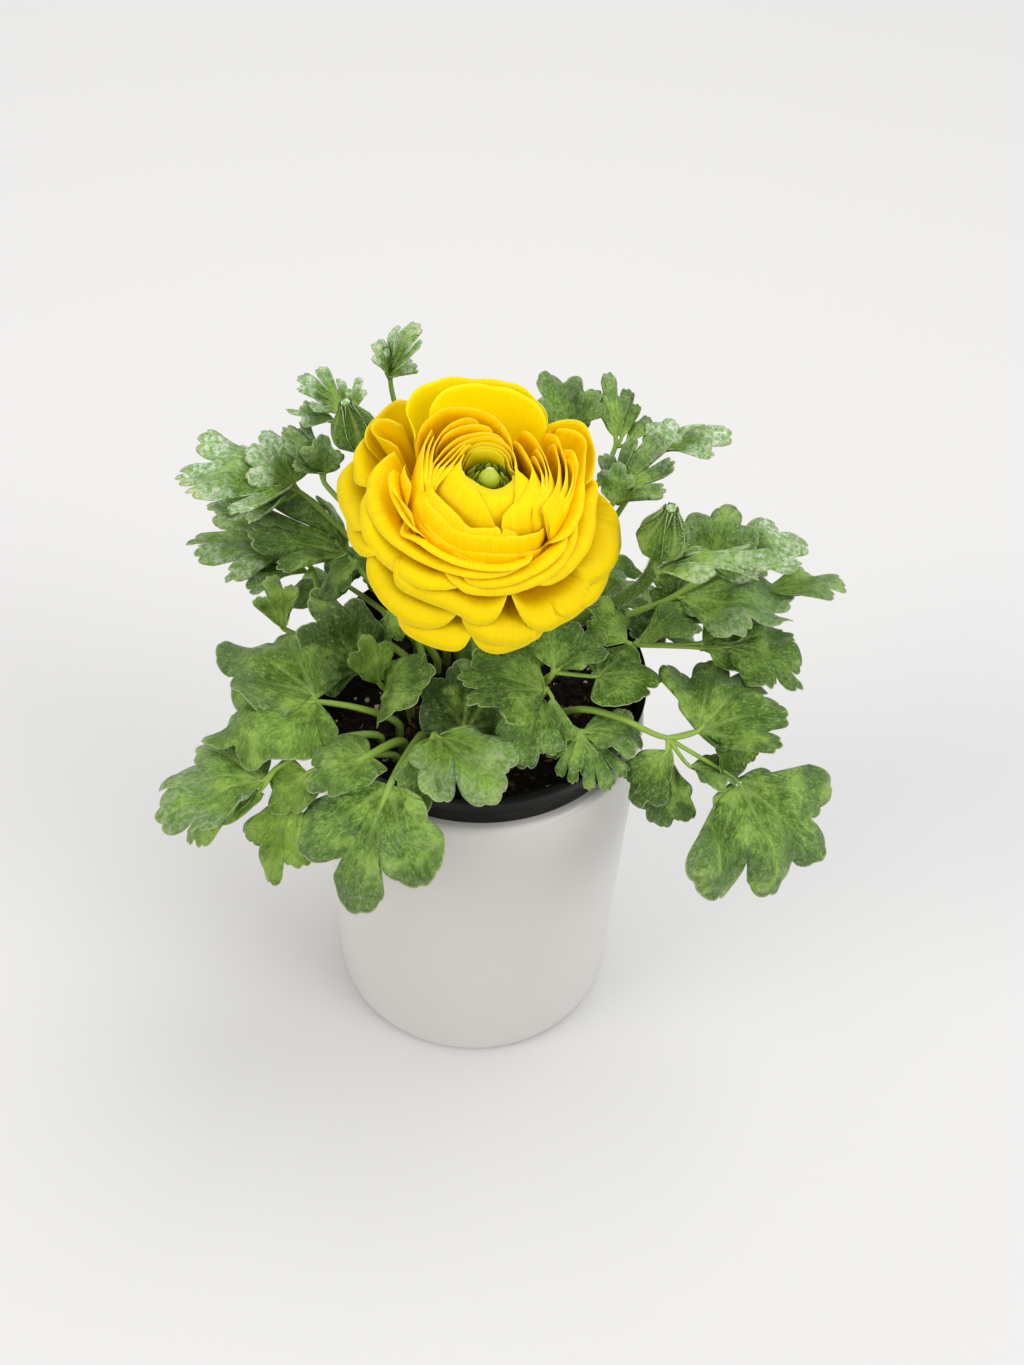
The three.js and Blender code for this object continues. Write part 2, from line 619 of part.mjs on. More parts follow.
// A point of a petal: across runs from -1 to 1, and along from 0 at the core to 1 at the rim. Side is 1 for the
// inner face and -1 for the outer.
function petalPoint(layer, turn, across, along, side) {
  const rimward = PETAL_START + (1 - PETAL_START) * along * (1 - 0.2 * Math.abs(across) ** 2.5);
  const back = Math.max(0, Math.sin(radians(turn))) * Math.min(1, layer.rim / 46) ** 2;
  const foot = new THREE.Vector2(3, 1.5);
  const belly = new THREE.Vector2(layer.bulge, layer.height * 0.12);
  const rim = new THREE.Vector2(layer.rim - PETAL_BACK_DRAW * back, layer.height + PETAL_BACK_LIFT * back);
  const profile = new THREE.QuadraticBezierCurve(foot, belly, rim);
  const spot = profile.getPoint(rimward);
  const slope = profile.getTangent(rimward);
  const radius = spot.x + PETAL_TUCK * across - slope.y * side * (PETAL_THICKNESS / 2);
  const height = spot.y + slope.x * side * (PETAL_THICKNESS / 2);
  const angle = radians(turn + across * layer.spread);
  return new THREE.Vector3(radius * Math.cos(angle), radius * Math.sin(angle), height);
}

function petal(layer, turn) {
  const columns = PETAL_COLUMNS.length;
  const net = (side) => PETAL_ROWS.flatMap((along) =>
    PETAL_COLUMNS.map((across) => petalPoint(layer, turn, across, along, side)));
  const faces = [];
  for (let row = 0; row + 1 < PETAL_ROWS.length; row += 1) {
    for (let column = 0; column + 1 < columns; column += 1) {
      const a = row * columns + column;
      faces.push([a, a + columns, a + columns + 1], [a, a + columns + 1, a + 1]);
    }
  }
  const last = PETAL_ROWS.length - 1;
  const edge = [
    ...PETAL_ROWS.map((_, row) => row * columns),
    ...PETAL_COLUMNS.slice(1).map((_, column) => last * columns + column + 1),
    ...PETAL_ROWS.slice(1).map((_, row) => (last - 1 - row) * columns + columns - 1),
    ...PETAL_COLUMNS.slice(2).map((_, column) => columns - 2 - column),
  ];
  return plate(net(1), net(-1), faces, edge);
}

function bloomPetals() {
  const core = turned([[0, CORE[0][1]], ...CORE, [0, CORE.at(-1)[1]]], CORE_SIDES);
  const petals = PETAL_LAYERS.flatMap((layer, depth) =>
    Array.from({ length: layer.count }, (_, place) =>
      petal(layer, depth * GOLDEN_ANGLE + (360 * place) / layer.count)));
  return join([core, ...petals]);
}

function bloomCentre() {
  const ring = (share, height, bumps) =>
    Array.from({ length: 12 }, (_, side) => {
      const turn = (2 * Math.PI * side) / 12;
      const radius = CENTRE_RADIUS * share * (1 + bumps * Math.cos(6 * turn));
      return new THREE.Vector3(radius * Math.cos(turn), radius * Math.sin(turn), height);
    });
  const rise = CENTRE_TOP - CENTRE_BOTTOM;
  const mound = loft([
    ring(0.9, CENTRE_BOTTOM, 0),
    ring(0.94, CENTRE_BOTTOM + 0.5 * rise, 0.05),
    ring(0.8, CENTRE_BOTTOM + 0.68 * rise, 0.09),
    ring(0.5, CENTRE_BOTTOM + 0.78 * rise, 0.12),
  ]);
  const knob = new THREE.SphereGeometry(KNOB_RADIUS, 8, 6).rotateX(Math.PI / 2).scale(1, 1, 1.4);
  knob.translate(0, -1.4, CENTRE_TOP - KNOB_RADIUS);
  return join([mound, solidOfGeometry(knob)]);
}

// The bloom's stem ends in a small cup with reflexed sepals, under the petals.
function bloomStem() {
  const frame = bloomFrame();
  const inBloom = (x, y, z) => new THREE.Vector3(x, y, z).applyMatrix4(frame);
  const line = [...stalkLine(BLOOM_ROOT, [inBloom(0, 0, -14)]), inBloom(0, 0, -1.5)];
  const stem = bar(line, taper(BLOOM_STEM_RADIUS, BLOOM_STEM_RADIUS * 0.85, line.length - 1), 7);
  const cup = bar([inBloom(0, 0, -3.5), inBloom(0, 0, 0.3)], [BLOOM_STEM_RADIUS, 4.6], 8);
  const sepals = Array.from({ length: SEPAL_COUNT }, (_, place) => {
    const turn = radians((360 * place) / SEPAL_COUNT + 20);
    const at = (radius, z) => inBloom(radius * Math.cos(turn), radius * Math.sin(turn), z).toArray();
    return blade({ kind: "narrow", from: at(2, -1.6), to: at(SEPAL_LENGTH, -1), arch: -0.12, wave: 0 });
  });
  return join([stem, cup, ...sepals]);
}

// A bud's globe is ribbed by its sepals, which close over the top.
function bud({ root, via, centre, lean, radius, length, thick, bracts }) {
  const axis = vector(lean).normalize();
  const side = new THREE.Vector3(0, 1, 0).cross(axis).normalize();
  const front = new THREE.Vector3().crossVectors(axis, side);
  const foot = vector(centre).addScaledVector(axis, -length / 2);
  const globe = loft(
    BUD_PROFILE.map(([share, height]) =>
      Array.from({ length: BUD_SIDES }, (_, place) => {
        const turn = (2 * Math.PI * place) / BUD_SIDES;
        const out = radius * share * (1 + 0.07 * Math.cos(BUD_RIBS * turn));
        return foot
          .clone()
          .addScaledVector(axis, height * length)
          .addScaledVector(side, out * Math.cos(turn))
          .addScaledVector(front, out * Math.sin(turn));
      })),
  );
  const inside = foot.clone().addScaledVector(axis, length * 0.15);
  const line = [...stalkLine(root, [...via.map(vector), foot]), inside];
  const stem = bar(line, taper(thick, thick * 0.7, line.length - 1), 6);
  const leaves = bracts.flatMap((row) => {
    const onStem = foot.clone().addScaledVector(axis, -2);
    return [bar([onStem, ...ribOf(row)], [1.2, 0.9, RIB_END_RADIUS], 4), blade(row)];
  });
  return join([globe, stem, ...leaves]);
}

// A leaf on the hidden side, whose stalk and blade lie in one direction from the pot's axis.
function backLeaf(degrees, { kind, wide, rootAt, jointAt, tipAt, rise, fall }) {
  const turn = radians(degrees);
  const at = (radius, height) => [radius * Math.cos(turn), radius * Math.sin(turn), height];
  const joint = at(jointAt, rise);
  const blades = [{ kind, from: joint, to: at(tipAt, fall), arch: 0.12, wide }];
  return { root: at(rootAt, 0).slice(0, 2), joint, blades };
}

const BACK_LEAVES = [
  ...BACK_LOW.map((degrees) => backLeaf(degrees, LOW_BACK_LEAF)),
  ...BACK_HIGH.map((degrees) => backLeaf(degrees, HIGH_BACK_LEAF)),
].map((row, place) => ({ name: `leaf_back_${place + 1}`, ...row }));

const group = new THREE.Group();

function addMesh(name, solid, material) {
  const { vertProperties, triVerts } = solid.getMesh();
  const geometry = new THREE.BufferGeometry();
  geometry.setAttribute("position", new THREE.BufferAttribute(Float32Array.from(vertProperties), 3));
  geometry.setIndex(new THREE.BufferAttribute(Uint32Array.from(triVerts), 1));
  geometry.computeVertexNormals();
  const mesh = new THREE.Mesh(geometry, material);
  mesh.name = name;
  group.add(mesh);
  return mesh;
}

const finish = (color, roughness) => new THREE.MeshStandardMaterial({ color, roughness });

const BLOOM_STALK = { root: BLOOM_ROOT, thick: BLOOM_STEM_RADIUS };
const ALL_LEAVES = [...LEAVES, ...BACK_LEAVES];

addMesh("cover_pot", coverPot(), finish(COLOURS.ceramic, 0.5));
addMesh("nursery_pot", nurseryPot(), finish(COLOURS.plastic, 0.3));
addMesh("soil", soil([...ALL_LEAVES, ...BUDS, BLOOM_STALK]), finish(COLOURS.soil, 0.95));
addMesh("bloom_petals", bloomPetals(), finish(COLOURS.petal, 0.5)).applyMatrix4(bloomFrame());
addMesh("bloom_centre", bloomCentre(), finish(COLOURS.centre, 0.6)).applyMatrix4(bloomFrame());
addMesh("bloom_stem", bloomStem(), finish(COLOURS.stem, 0.6));
for (const row of BUDS) addMesh(row.name, bud(row), finish(COLOURS.stem, 0.6));
for (const row of ALL_LEAVES) addMesh(row.name, leaf(row), finish(COLOURS.leaf, 0.55));

export default group;
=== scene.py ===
"""The looks of a potted ranunculus: finer petals, leaves, buds, pots and soil over the CAD model.

Sizes are in millimetres here and become metres where a mesh is made. Angles are in degrees.
The leaf and pot formulas repeat those of the CAD source, with more samples. The petals stand one by one
where the CAD source has plain layers.
"""

import bpy
import numpy as np
from mathutils import Matrix, Vector


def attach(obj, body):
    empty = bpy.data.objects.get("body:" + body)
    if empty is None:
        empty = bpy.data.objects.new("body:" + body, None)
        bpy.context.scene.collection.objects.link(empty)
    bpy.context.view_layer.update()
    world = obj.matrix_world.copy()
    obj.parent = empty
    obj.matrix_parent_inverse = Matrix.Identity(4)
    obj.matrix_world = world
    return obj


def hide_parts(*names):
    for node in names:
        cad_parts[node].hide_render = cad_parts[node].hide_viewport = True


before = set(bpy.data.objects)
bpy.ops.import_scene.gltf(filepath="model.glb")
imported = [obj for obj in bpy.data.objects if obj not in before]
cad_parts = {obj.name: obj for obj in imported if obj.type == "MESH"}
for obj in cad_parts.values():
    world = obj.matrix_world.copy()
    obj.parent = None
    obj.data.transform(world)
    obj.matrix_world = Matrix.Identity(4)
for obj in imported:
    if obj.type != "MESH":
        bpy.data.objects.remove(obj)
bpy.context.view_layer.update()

MM = 0.001
random = np.random.default_rng(7)

# Camera, fitted to the rims and the foot of the pots
CAMERA_PLACE = (11.3, -371.4, 551.0)
CAMERA_DOWN = 46.4
CAMERA_ROLL = 2.88
CAMERA_LENS = 39.56
SENSOR = 36.0

# Floor and light
FLOOR_REACH = 6000
FLOOR_TOP = -0.2
SKY_LIGHT = 0.7
KEY_LIGHT = 0.85
FILL_LIGHT = 0.85

# Pots and soil
POT_SIDES = 144
POT_STEP = 6
COVER_HEIGHT = 150
COVER_RADIUS = 60
COVER_BASE_RADIUS = 57
COVER_WALL = 5
COVER_FLOOR = 6
COVER_EDGE = 4
COLLAR_SEAT = 150.3
COLLAR_RADIUS = 56.2
LIP_RADIUS = 59.5
LIP_TOP = 166.5
LIP_BAND = 3.2
LIP_WIDTH = 2.2
NURSERY_WALL = 1.6
NECK_RADIUS = 53.2
NURSERY_BASE_RADIUS = 42
NURSERY_BASE = 58
HOLE_PLACE = 26
HOLE_RADIUS = 5
HOLE_TURNS = (45, 135, 225, 315)
SOIL_TOP = 157
SOIL_RADIUS = 55.2
SOIL_BLOCK = [(54.2, 152.2), (51.2, 152.2), (40, 60.2), (0.05, 60.2)]
SOIL_SETTLE = 1.2
GRAIN_SPREAD = 54
SOIL_SIDES = 200
PERLITE_CLUSTER = (-21.8, -31)
PERLITE_IN_CLUSTER = 16

# Stalks
STALK_FOOT = 148
STALK_CLEAR = 162
STALK_RADIUS = 1.5
STALK_GROOVE = 0.25
NECK_START = 0.55
NECK_END = 0.42
RIB_DEPTH = 0.45
RIB_END = 0.12

# Grains: how many, the range of their sizes, their stretch, how rough they are, and the range of their tones
CRUMBS = (900, (0.5, 1.5), (1, 0.8, 0.7), 0.3, (0, 0.6))
PERLITE = (150, (0.5, 1.5), (1, 0.9, 0.8), 0.2, (0, 1))
BARK = (170, (0.6, 2.0), (1.6, 0.6, 0.35), 0.2, (0, 1))

# Leaves. Each kind of blade has a web, how far its shoulders reach back beyond the lobes, round lobes of
# (angle, reach, half-width), teeth a lobe, and their depth.
BLADE_KINDS = {
    "broad": (0.5, 33, [(-41, 0.84, 25), (0, 1, 18.5), (44, 0.84, 27)], 4, 0.035),
    "round": (0.76, 20, [(-74, 0.62, 24), (-36, 0.88, 20), (0, 1, 19), (36, 0.88, 20), (74, 0.62, 24)],
              2, 0.05),
    "oval": (0.72, 34, [(-36, 0.76, 28), (0, 1, 26), (36, 0.76, 28)], 2, 0.03),
    "split": (0.58, 32, [(-30, 0.86, 20), (12, 1, 20), (42, 0.92, 22)], 3, 0.05),
    "fan": (0.46, 16, [(-60, 0.78, 17), (-29, 0.95, 15), (0, 1, 14.5), (29, 0.95, 15), (60, 0.78, 17)],
            3, 0.07),
    "cut": (0.32, 10, [(-46, 0.68, 12), (-22, 0.9, 10.5), (0, 1, 9.8), (22, 0.9, 10.5), (46, 0.68, 12)],
            3, 0.09),
    "hand": (0.4, 24, [(-52, 0.94, 27), (-8, 1, 17), (22, 0.96, 14), (54, 0.86, 19)], 3, 0.05),
    "wedge": (0.6, 22, [(-27, 0.84, 16), (0, 1, 15), (27, 0.84, 16)], 3, 0.06),
    "sepal": (0.8, 20, [(-20, 0.86, 22), (0, 1, 20), (20, 0.86, 22)], 1, 0.0),
    "narrow": (0.42, 10, [(-19, 0.74, 11), (0, 1, 10.5), (19, 0.74, 11)], 3, 0.08),
}
BLADE_THICKNESS = 0.5
QUILT = 0.9
DROOP = 1.3
WAVES = 0.028
RIM_STEP = 0.7
ROW_STEP = 2.2


def blade(kind, start, tip, arch=0.1, cup=0.0, fold=0.0, wide=1.0, tone=(0, 0, 0)):
    """A blade's row. Its tone is added to the leaf's look."""
    return {"kind": kind, "from": start, "to": tip, "arch": arch, "cup": cup, "fold": fold, "wide": wide,
            "tone": tone}


def leaf(root, joint, blades, via=(), thick=STALK_RADIUS, young=0.0, pale=0.0, dark=0.0):
    """A leaf's row. Young turns it yellow-green, pale bleaches its tips, and dark deepens it."""
    return {"root": root, "joint": joint, "blades": blades, "via": list(via), "thick": thick,
            "look": (young, pale, dark)}


LEAVES = {
    "leaf_front_left": leaf((-18, -28), (-27, -60, 172), [
        blade("broad", (-27, -60, 172), (-37, -87, 139), 0.14, cup=-0.05, wide=0.92)], thick=1.9),
    "leaf_left_cupped": leaf((-25, -32), (-35, -49, 174), [
        blade("round", (-35, -49, 173.5), (-54, -61, 168), cup=0.2, wide=0.74)], thick=1.9, young=0.2),
    "leaf_left_young": leaf((-26, -39), (-52, -52, 169), [
        blade("oval", (-55, -52, 167), (-66, -62, 157)),
        blade("narrow", (-57, -57, 164), (-67, -73, 136), 0.12, wide=1.3)], [(-40, -48, 172)], young=0.8),
    "leaf_left_broad": leaf((-27, -24), (-55, -27, 175), [
        blade("round", (-55, -27, 175), (-92, -36, 160), 0.12, cup=-0.08, wide=0.85),
        blade("oval", (-56, -24, 175), (-91, 0, 170), 0.12, wide=0.75, tone=(0, 0, 0.4))], [(-38, -26, 171)],
        young=0.2),
    "leaf_far_left": leaf((-33, -30), (-66, -50, 166), [
        blade("fan", (-70, -53, 163), (-105, -47, 151), tone=(-0.5, 0.2, 0)),
        blade("wedge", (-71, -56, 161), (-98, -61, 139), 0.08, wide=0.7)], [(-48, -41, 171.5)], young=0.7),
    "leaf_left_upright": leaf((-27, -4), (-44, -5, 168), [
        blade("round", (-44, -5, 168), (-59, 10, 191), 0.08, wide=0.8)], [(-36, -5, 166)], dark=0.7),
    "leaf_left_sprout": leaf((-33, 1), (-69, 2, 180), [
        blade("narrow", (-70, 2, 181), (-74, 9, 199), 0.05, wide=1.3)], [(-55, 2, 172)], young=0.9),
    "leaf_inner_left": leaf((-24, -14), (-33, -19, 170), [
        blade("round", (-33, -19, 170), (-14, -20, 186), wide=0.9)]),
    "leaf_inner_young": leaf((-31, -10), (-35, -12, 170), [
        blade("wedge", (-35, -12, 170), (-41, -4, 185))], young=0.8),
    "leaf_low_left": leaf((-20, 3), (-27, 14, 179), [
        blade("cut", (-27, 14, 180), (-34, 6, 173), 0.15, wide=1.1)]),
    "leaf_middle_left": leaf((-16, 8), (-47, 30, 187), [
        blade("fan", (-47, 31, 188), (-59, 28, 175), 0.12),
        blade("cut", (-50, 32, 189), (-87, 42, 198))], [(-32, 20, 176)], dark=0.3),
    "leaf_lower_left": leaf((-25, 6), (-63, 29, 185), [
        blade("cut", (-70, 34, 188), (-107, 37, 189)),
        blade("narrow", (-64, 27, 185), (-93, 25, 183), wide=1.2)], [(-40, 12, 170), (-57, 17, 175)],
        young=0.3, pale=0.4),
    "leaf_upper_left": leaf((-13, 12), (-68, 44, 208), [
        blade("cut", (-70, 44, 209), (-111, 42, 215)),
        blade("fan", (-70, 46, 210), (-82, 59, 223)),
        blade("cut", (-72, 42, 206), (-99, 40, 202))], [(-36, 28, 184), (-51, 37, 195)], pale=0.9),
    "leaf_high_left": leaf((-9, 15), (-59, 45, 212), [
        blade("cut", (-60, 47, 214), (-73, 53, 229)),
        blade("wedge", (-59, 47, 214), (-59, 48, 231))], [(-30, 30, 188)], pale=0.2),
    "leaf_behind_bud": leaf((-5, 18), (-53, 60, 226), [
        blade("narrow", (-56, 60, 227), (-73, 58, 231), wide=1.2),
        blade("cut", (-53, 62, 230), (-69, 70, 239)),
        blade("narrow", (-50, 63, 229), (-48, 70, 239))], [(-30, 42, 196)], pale=0.8),
    "leaf_top": leaf((-1, 20), (-38, 79, 233), [
        blade("cut", (-38, 79, 234), (-29, 87, 251), 0.08),
        blade("narrow", (-39, 79, 235), (-44, 82, 246), 0.08, wide=1.2)], [(-20, 48, 192)], pale=0.9),
    "leaf_top_right": leaf((5, 20), (28, 80, 214), [
        blade("round", (28, 80, 214), (17, 88, 232), 0.08),
        blade("wedge", (29, 80, 214), (38, 89, 226), 0.08)], [(16, 48, 188)], pale=0.15),
    "leaf_feathered": leaf((9, 18), (45, 74, 212), [
        blade("narrow", (45, 76, 214), (41, 95, 227), 0.05, wide=0.9),
        blade("narrow", (47, 76, 214), (49, 94, 223), 0.05, wide=0.9),
        blade("narrow", (49, 74, 213), (58, 87, 216), 0.05)], [(28, 46, 188)], pale=0.1),
    "leaf_high_right": leaf((13, 15), (44, 52, 202), [
        blade("cut", (45, 53, 203), (61, 70, 218), 0.08),
        blade("wedge", (45, 52, 203), (46, 62, 214), 0.08)], [(28, 34, 184)], pale=0.3),
    "leaf_folded": leaf((17, 12), (57, 68, 210), [
        blade("narrow", (57, 70, 212), (88, 76, 218), 0.12, fold=0.2),
        blade("wedge", (57, 70, 212), (67, 82, 219))], [(36, 42, 182)], young=0.3, pale=0.9),
    "leaf_right_back": leaf((19, 6), (66, 10, 198), [
        blade("round", (78, 17, 207), (84, 34, 220)),
        blade("wedge", (80, 15, 205), (112, 30, 209), wide=0.8, tone=(0, 0.5, -0.3)),
        blade("fan", (68, 9, 198), (108, 16, 195), wide=0.8),
        # The three lower blades, under the upper ones and behind the bud's stem, are darkened by their tone:
        # painted shade.
        blade("round", (74, 14, 190), (79, 33, 196), wide=0.9, tone=(0, -0.4, 0.5)),
        blade("round", (71, 12, 189), (60, 24, 196), tone=(0, -0.4, 0.5)),
        blade("round", (64, 10, 182), (50, 14, 180), tone=(0, -0.4, 0.6)),
        blade("narrow", (98, 16, 195), (128, 30, 190), 0.05, tone=(1, 0, -0.2))], [(45, 8, 186)],
        pale=0.2, dark=0.2),
    "leaf_right_middle": leaf((21, -2), (52, -4, 187), [
        blade("cut", (50, -4, 188), (35, 2, 198)),
        blade("narrow", (54, -3, 188), (78, 5, 197), 0.08, wide=1.2),
        blade("wedge", (76, -4, 190), (91, 3, 195)),
        blade("wedge", (76, -6, 189), (92, -9, 184)),
        blade("fan", (84, -5, 189), (113, -2, 179), wide=0.9)], [(38, -3, 179)]),
    "leaf_right_low": leaf((24, -19), (64, -38, 178), [
        blade("fan", (74, -37, 181), (96, -14, 183), wide=1.1),
        blade("wedge", (83, -35, 181), (89, -43, 165)),
        blade("wedge", (72, -45, 172), (88, -47, 168)),
        blade("hand", (88, -48, 169), (107, -69, 138), 0.12, wide=1.05, tone=(0, 0, -0.3)),
        blade("wedge", (64, -42, 176), (55, -51, 159), 0.12),
        blade("wedge", (66, -44, 172), (63, -54, 150), 0.12)], [(36, -27, 178), (48, -32, 180)], dark=0.5),
    "leaf_front_right": leaf((19, -27), (34, -36, 177), [
        blade("cut", (34, -37, 177), (33, -51, 167), wide=0.8),
        blade("cut", (35, -37, 177), (46, -52, 165), wide=0.9),
        blade("wedge", (36, -36, 177), (58, -35, 172))], [(25, -31, 175)]),
    "leaf_centre_left": leaf((15, -21), (23, -25, 185), [
        blade("fan", (22, -26, 185), (-8, -25, 188), wide=0.9),
        blade("wedge", (21, -28, 184), (16, -48, 171), 0.12),
        blade("narrow", (25, -28, 184), (27, -44, 171), wide=1.2)]),
    "leaf_centre_right": leaf((16, -13), (25, -20, 188), [
        blade("wedge", (25, -19, 189), (24, -5, 203)),
        blade("wedge", (27, -19, 189), (42, -7, 195)),
        blade("round", (40, -20, 187), (62, -17, 184))]),
    "leaf_front": leaf((-10, -34), (-14, -40, 176), [
        blade("wedge", (-14, -41, 176), (-17, -65, 165), 0.12, wide=0.75),
        blade("split", (-12, -41, 176), (3, -66, 169), 0.12, tone=(0.2, 0.25, 0))], young=0.2),
    "leaf_inner_dark": leaf((-2, -26), (-4, -29, 167), [
        blade("round", (-4, -29, 167), (-6, -11, 183))], dark=0.8),
}
# The leaves behind the bloom: the turns that they stand at, and for each kind its width, the distance of its
# root, joint and tip from the pots' axis, and the height of its joint and tip.
BACK_LOW = [24, 55, 86, 117, 146]
BACK_HIGH = [34, 66, 98, 130]
LOW_BACK_LEAF = ("broad", 1.0, 29, 62, 88, 172, 158)
HIGH_BACK_LEAF = ("fan", 0.75, 33, 42, 70, 174, 176)

# Bloom
BLOOM_BASE = (-2.5, 6, 220)
BLOOM_LEAN = 13
BLOOM_SIDE_LEAN = 5
BACK_LIFT = 20
BACK_RIM = 46
BACK_TURNS = (50, 140)

# A petal's curve runs from its foot to its rim. The tables lead it, in pairs of rim radius and value. Between
# the flare's two rim radii it turns from a bowl into a shelf in front, and stands upright behind.
PETAL_FOOT = (3.0, 1.5)
FLARE = (25.5, 31)
LOW_RADIUS = 26.0
UPRIGHT_DRAW = (4.5, 7)
DOME = [(0, 43.6), (9, 43), (14, 42), (20, 39.5), (26, 36), (32, 31), (39.5, 22), (48, 12), (52, 7)]
BOWL_RADIUS = [(5, 10), (9, 18), (14, 25), (20, 30), (26, 34), (32, 37), (39.5, 36), (48, 32)]
LOW_HEIGHT = [(30, 2), (36, 4), (46, 3)]
SHELF_RADIUS = [(30, 23), (32, 24), (36, 27), (38, 28.5), (50, 40.5)]
SHELF_LIFT = [(30, 2), (34, 6), (38, 10.5), (42, 13)]
WRAP_HEIGHT = [(5, 43.5), (9, 43), (14, 41.5), (20, 38.5), (24, 33), (28, 25), (31, 20)]
WRAP_END_RADIUS = [(5, 5), (14, 14), (20, 19.5), (24, 22.8), (28, 24.8), (31, 25.6)]
WRAP_END_HEIGHT = [(5, 43.4), (9, 43), (14, 41.8), (20, 39), (24, 35.3), (28, 30), (31, 26.8)]

# Each petal's rim is a line of angle: radius about the bloom's axis, on the dome that the rims share. The
# petals come inside out. Those of the eye and the ball have a shell number first, and wrap the ball in front,
# one over another.
EYE_PETALS = [
    (0, {15: 5.0, 60: 5.2, 90: 5.3, 120: 5.9, 140: 7, 158: 7.3}),
    (0, {190: 7.8, 225: 7.8, 250: 8.5, 280: 9.5, 300: 9.2, 330: 7.4, 350: 6}),
    (0.5, {-25: 5.9, 20: 6.1, 60: 6.5, 90: 6.5, 120: 7.1, 140: 7.9, 165: 8.0}),
    (1, {5: 6.7, 30: 7.3, 60: 7.8, 90: 8.2, 110: 8.5, 130: 8.8, 150: 8.7}),
]
BALL_PETALS = [
    (1, {246: 9, 262: 9.9, 275: 10.5, 290: 10.9, 308: 10.9, 322: 9.8, 335: 8.5, 350: 7.4}),
    (2, {140: 8.8, 160: 8.8, 180: 8.9, 205: 9, 225: 9, 250: 9.9, 262: 11, 270: 12.2, 276: 13.6, 280: 15.5,
     282: 18, 284: 22}),
    (3, {292: 13, 300: 11, 308: 10.8, 325: 9.6, 345: 8.2, 360: 7.7, 375: 8, 390: 8.7, 405: 9.2, 418: 9.5}),
    (2.5, {120: 9.5, 150: 9.8, 165: 10.1, 180: 10.8, 190: 11.6, 200: 13, 207: 15.5, 210: 18}),
    (3, {128: 10.3, 150: 10.8, 165: 11.5, 180: 12.9, 190: 14.3, 200: 16.5, 207: 18.4}),
    (3.5, {38: 9.4, 60: 9.9, 75: 10.1, 90: 10.5, 110: 10.6, 125: 11, 140: 11.7, 155: 12.5, 170: 13.8,
     185: 15.7, 200: 17.6, 204: 18.2}),
    (4, {60: 10.8, 90: 12, 105: 12.3, 120: 12.7, 135: 13.6, 150: 14.4, 165: 15.6, 178: 16.8, 190: 17.4}),
    (4.5, {85: 13.5, 95: 14.6, 105: 15.5, 120: 16.8, 135: 17.8, 147: 18.1, 155: 17.6}),
    (4.6, {98: 17.5, 105: 19, 115: 19.8, 130: 20, 140: 19.8, 150: 19.3, 165: 18.3, 180: 17.9, 190: 18.1,
     203: 18.9}),
    (5, {142: 22, 150: 20.9, 160: 20, 172: 19.5, 185: 19.4, 198: 19.9}),
    (5.5, {137: 24.2, 145: 23.1, 155: 22.1, 165: 21.4, 175: 21, 185: 20.9, 196: 21.4, 205: 21.7}),
    (6, {46: 10.1, 55: 11, 62: 12.2, 70: 13.7, 80: 16.3, 88: 18.6, 96: 20.6, 105: 22.9, 113: 24.5, 120: 26,
     128: 27.3, 140: 28, 150: 28.4}),
    (4, {270: 17.6, 275: 17, 280: 16.5, 290: 15.2, 300: 14.6, 310: 14.8, 322: 13.9, 335: 13.2, 350: 13.1,
     365: 13.3, 380: 12.7, 392: 12.4, 405: 12.8, 420: 13.4, 428: 14.4}),
    (4.6, {312: 16, 322: 17.4, 332: 17.6, 345: 17.2, 355: 16.7, 365: 16.1, 375: 15.4, 385: 14.8,
     394: 14.3}),
    (5, {196: 19.3, 205: 19, 220: 18.9, 235: 19.2, 245: 20, 253: 21.3, 258: 21.8, 268: 21.1, 280: 20.8,
     292: 20.2, 300: 19}),
    (5.2, {322: 18.9, 332: 19.2, 340: 18.9, 350: 18.4, 360: 17.9, 375: 17.5, 390: 17.3, 402: 17.2}),
    (5.6, {338: 20, 350: 19.5, 360: 19.2, 375: 18.6, 390: 18.4, 410: 18.8, 425: 19}),
    (6, {198: 21.6, 215: 21.8, 230: 22.3, 245: 23.4, 260: 23.4, 275: 22.9, 290: 23.2, 300: 24, 315: 24,
     325: 23.5}),
    (7, {200: 23.0, 210: 24.2, 220: 26, 230: 27, 245: 27.7, 262: 27.3, 275: 27.4, 287: 27.9, 300: 28.8,
     312: 29, 325: 28.4}),
    (8, {208: 26, 216: 26.8, 225: 27.8, 235: 28.5, 246: 29.2, 262: 30.4, 275: 30.8, 290: 30.8, 300: 30.2,
     308: 29.4, 314: 28.4}),
    (8.4, {318: 20, 335: 20.6, 345: 21.2, 355: 21.7, 367: 22.1, 380: 22.8, 392: 23.8, 402: 24.8}),
    (8.8, {322: 22.6, 345: 23.4, 360: 24.3, 375: 24.9, 390: 25.8, 400: 26.8, 410: 28}),
    (9.2, {323: 24.8, 337: 25.4, 350: 26, 362: 27, 375: 27.9, 388: 28.5}),
    (9.6, {330: 26.4, 345: 26.9, 360: 28.4, 375: 29.5, 388: 30.4, 394: 30.2}),
]
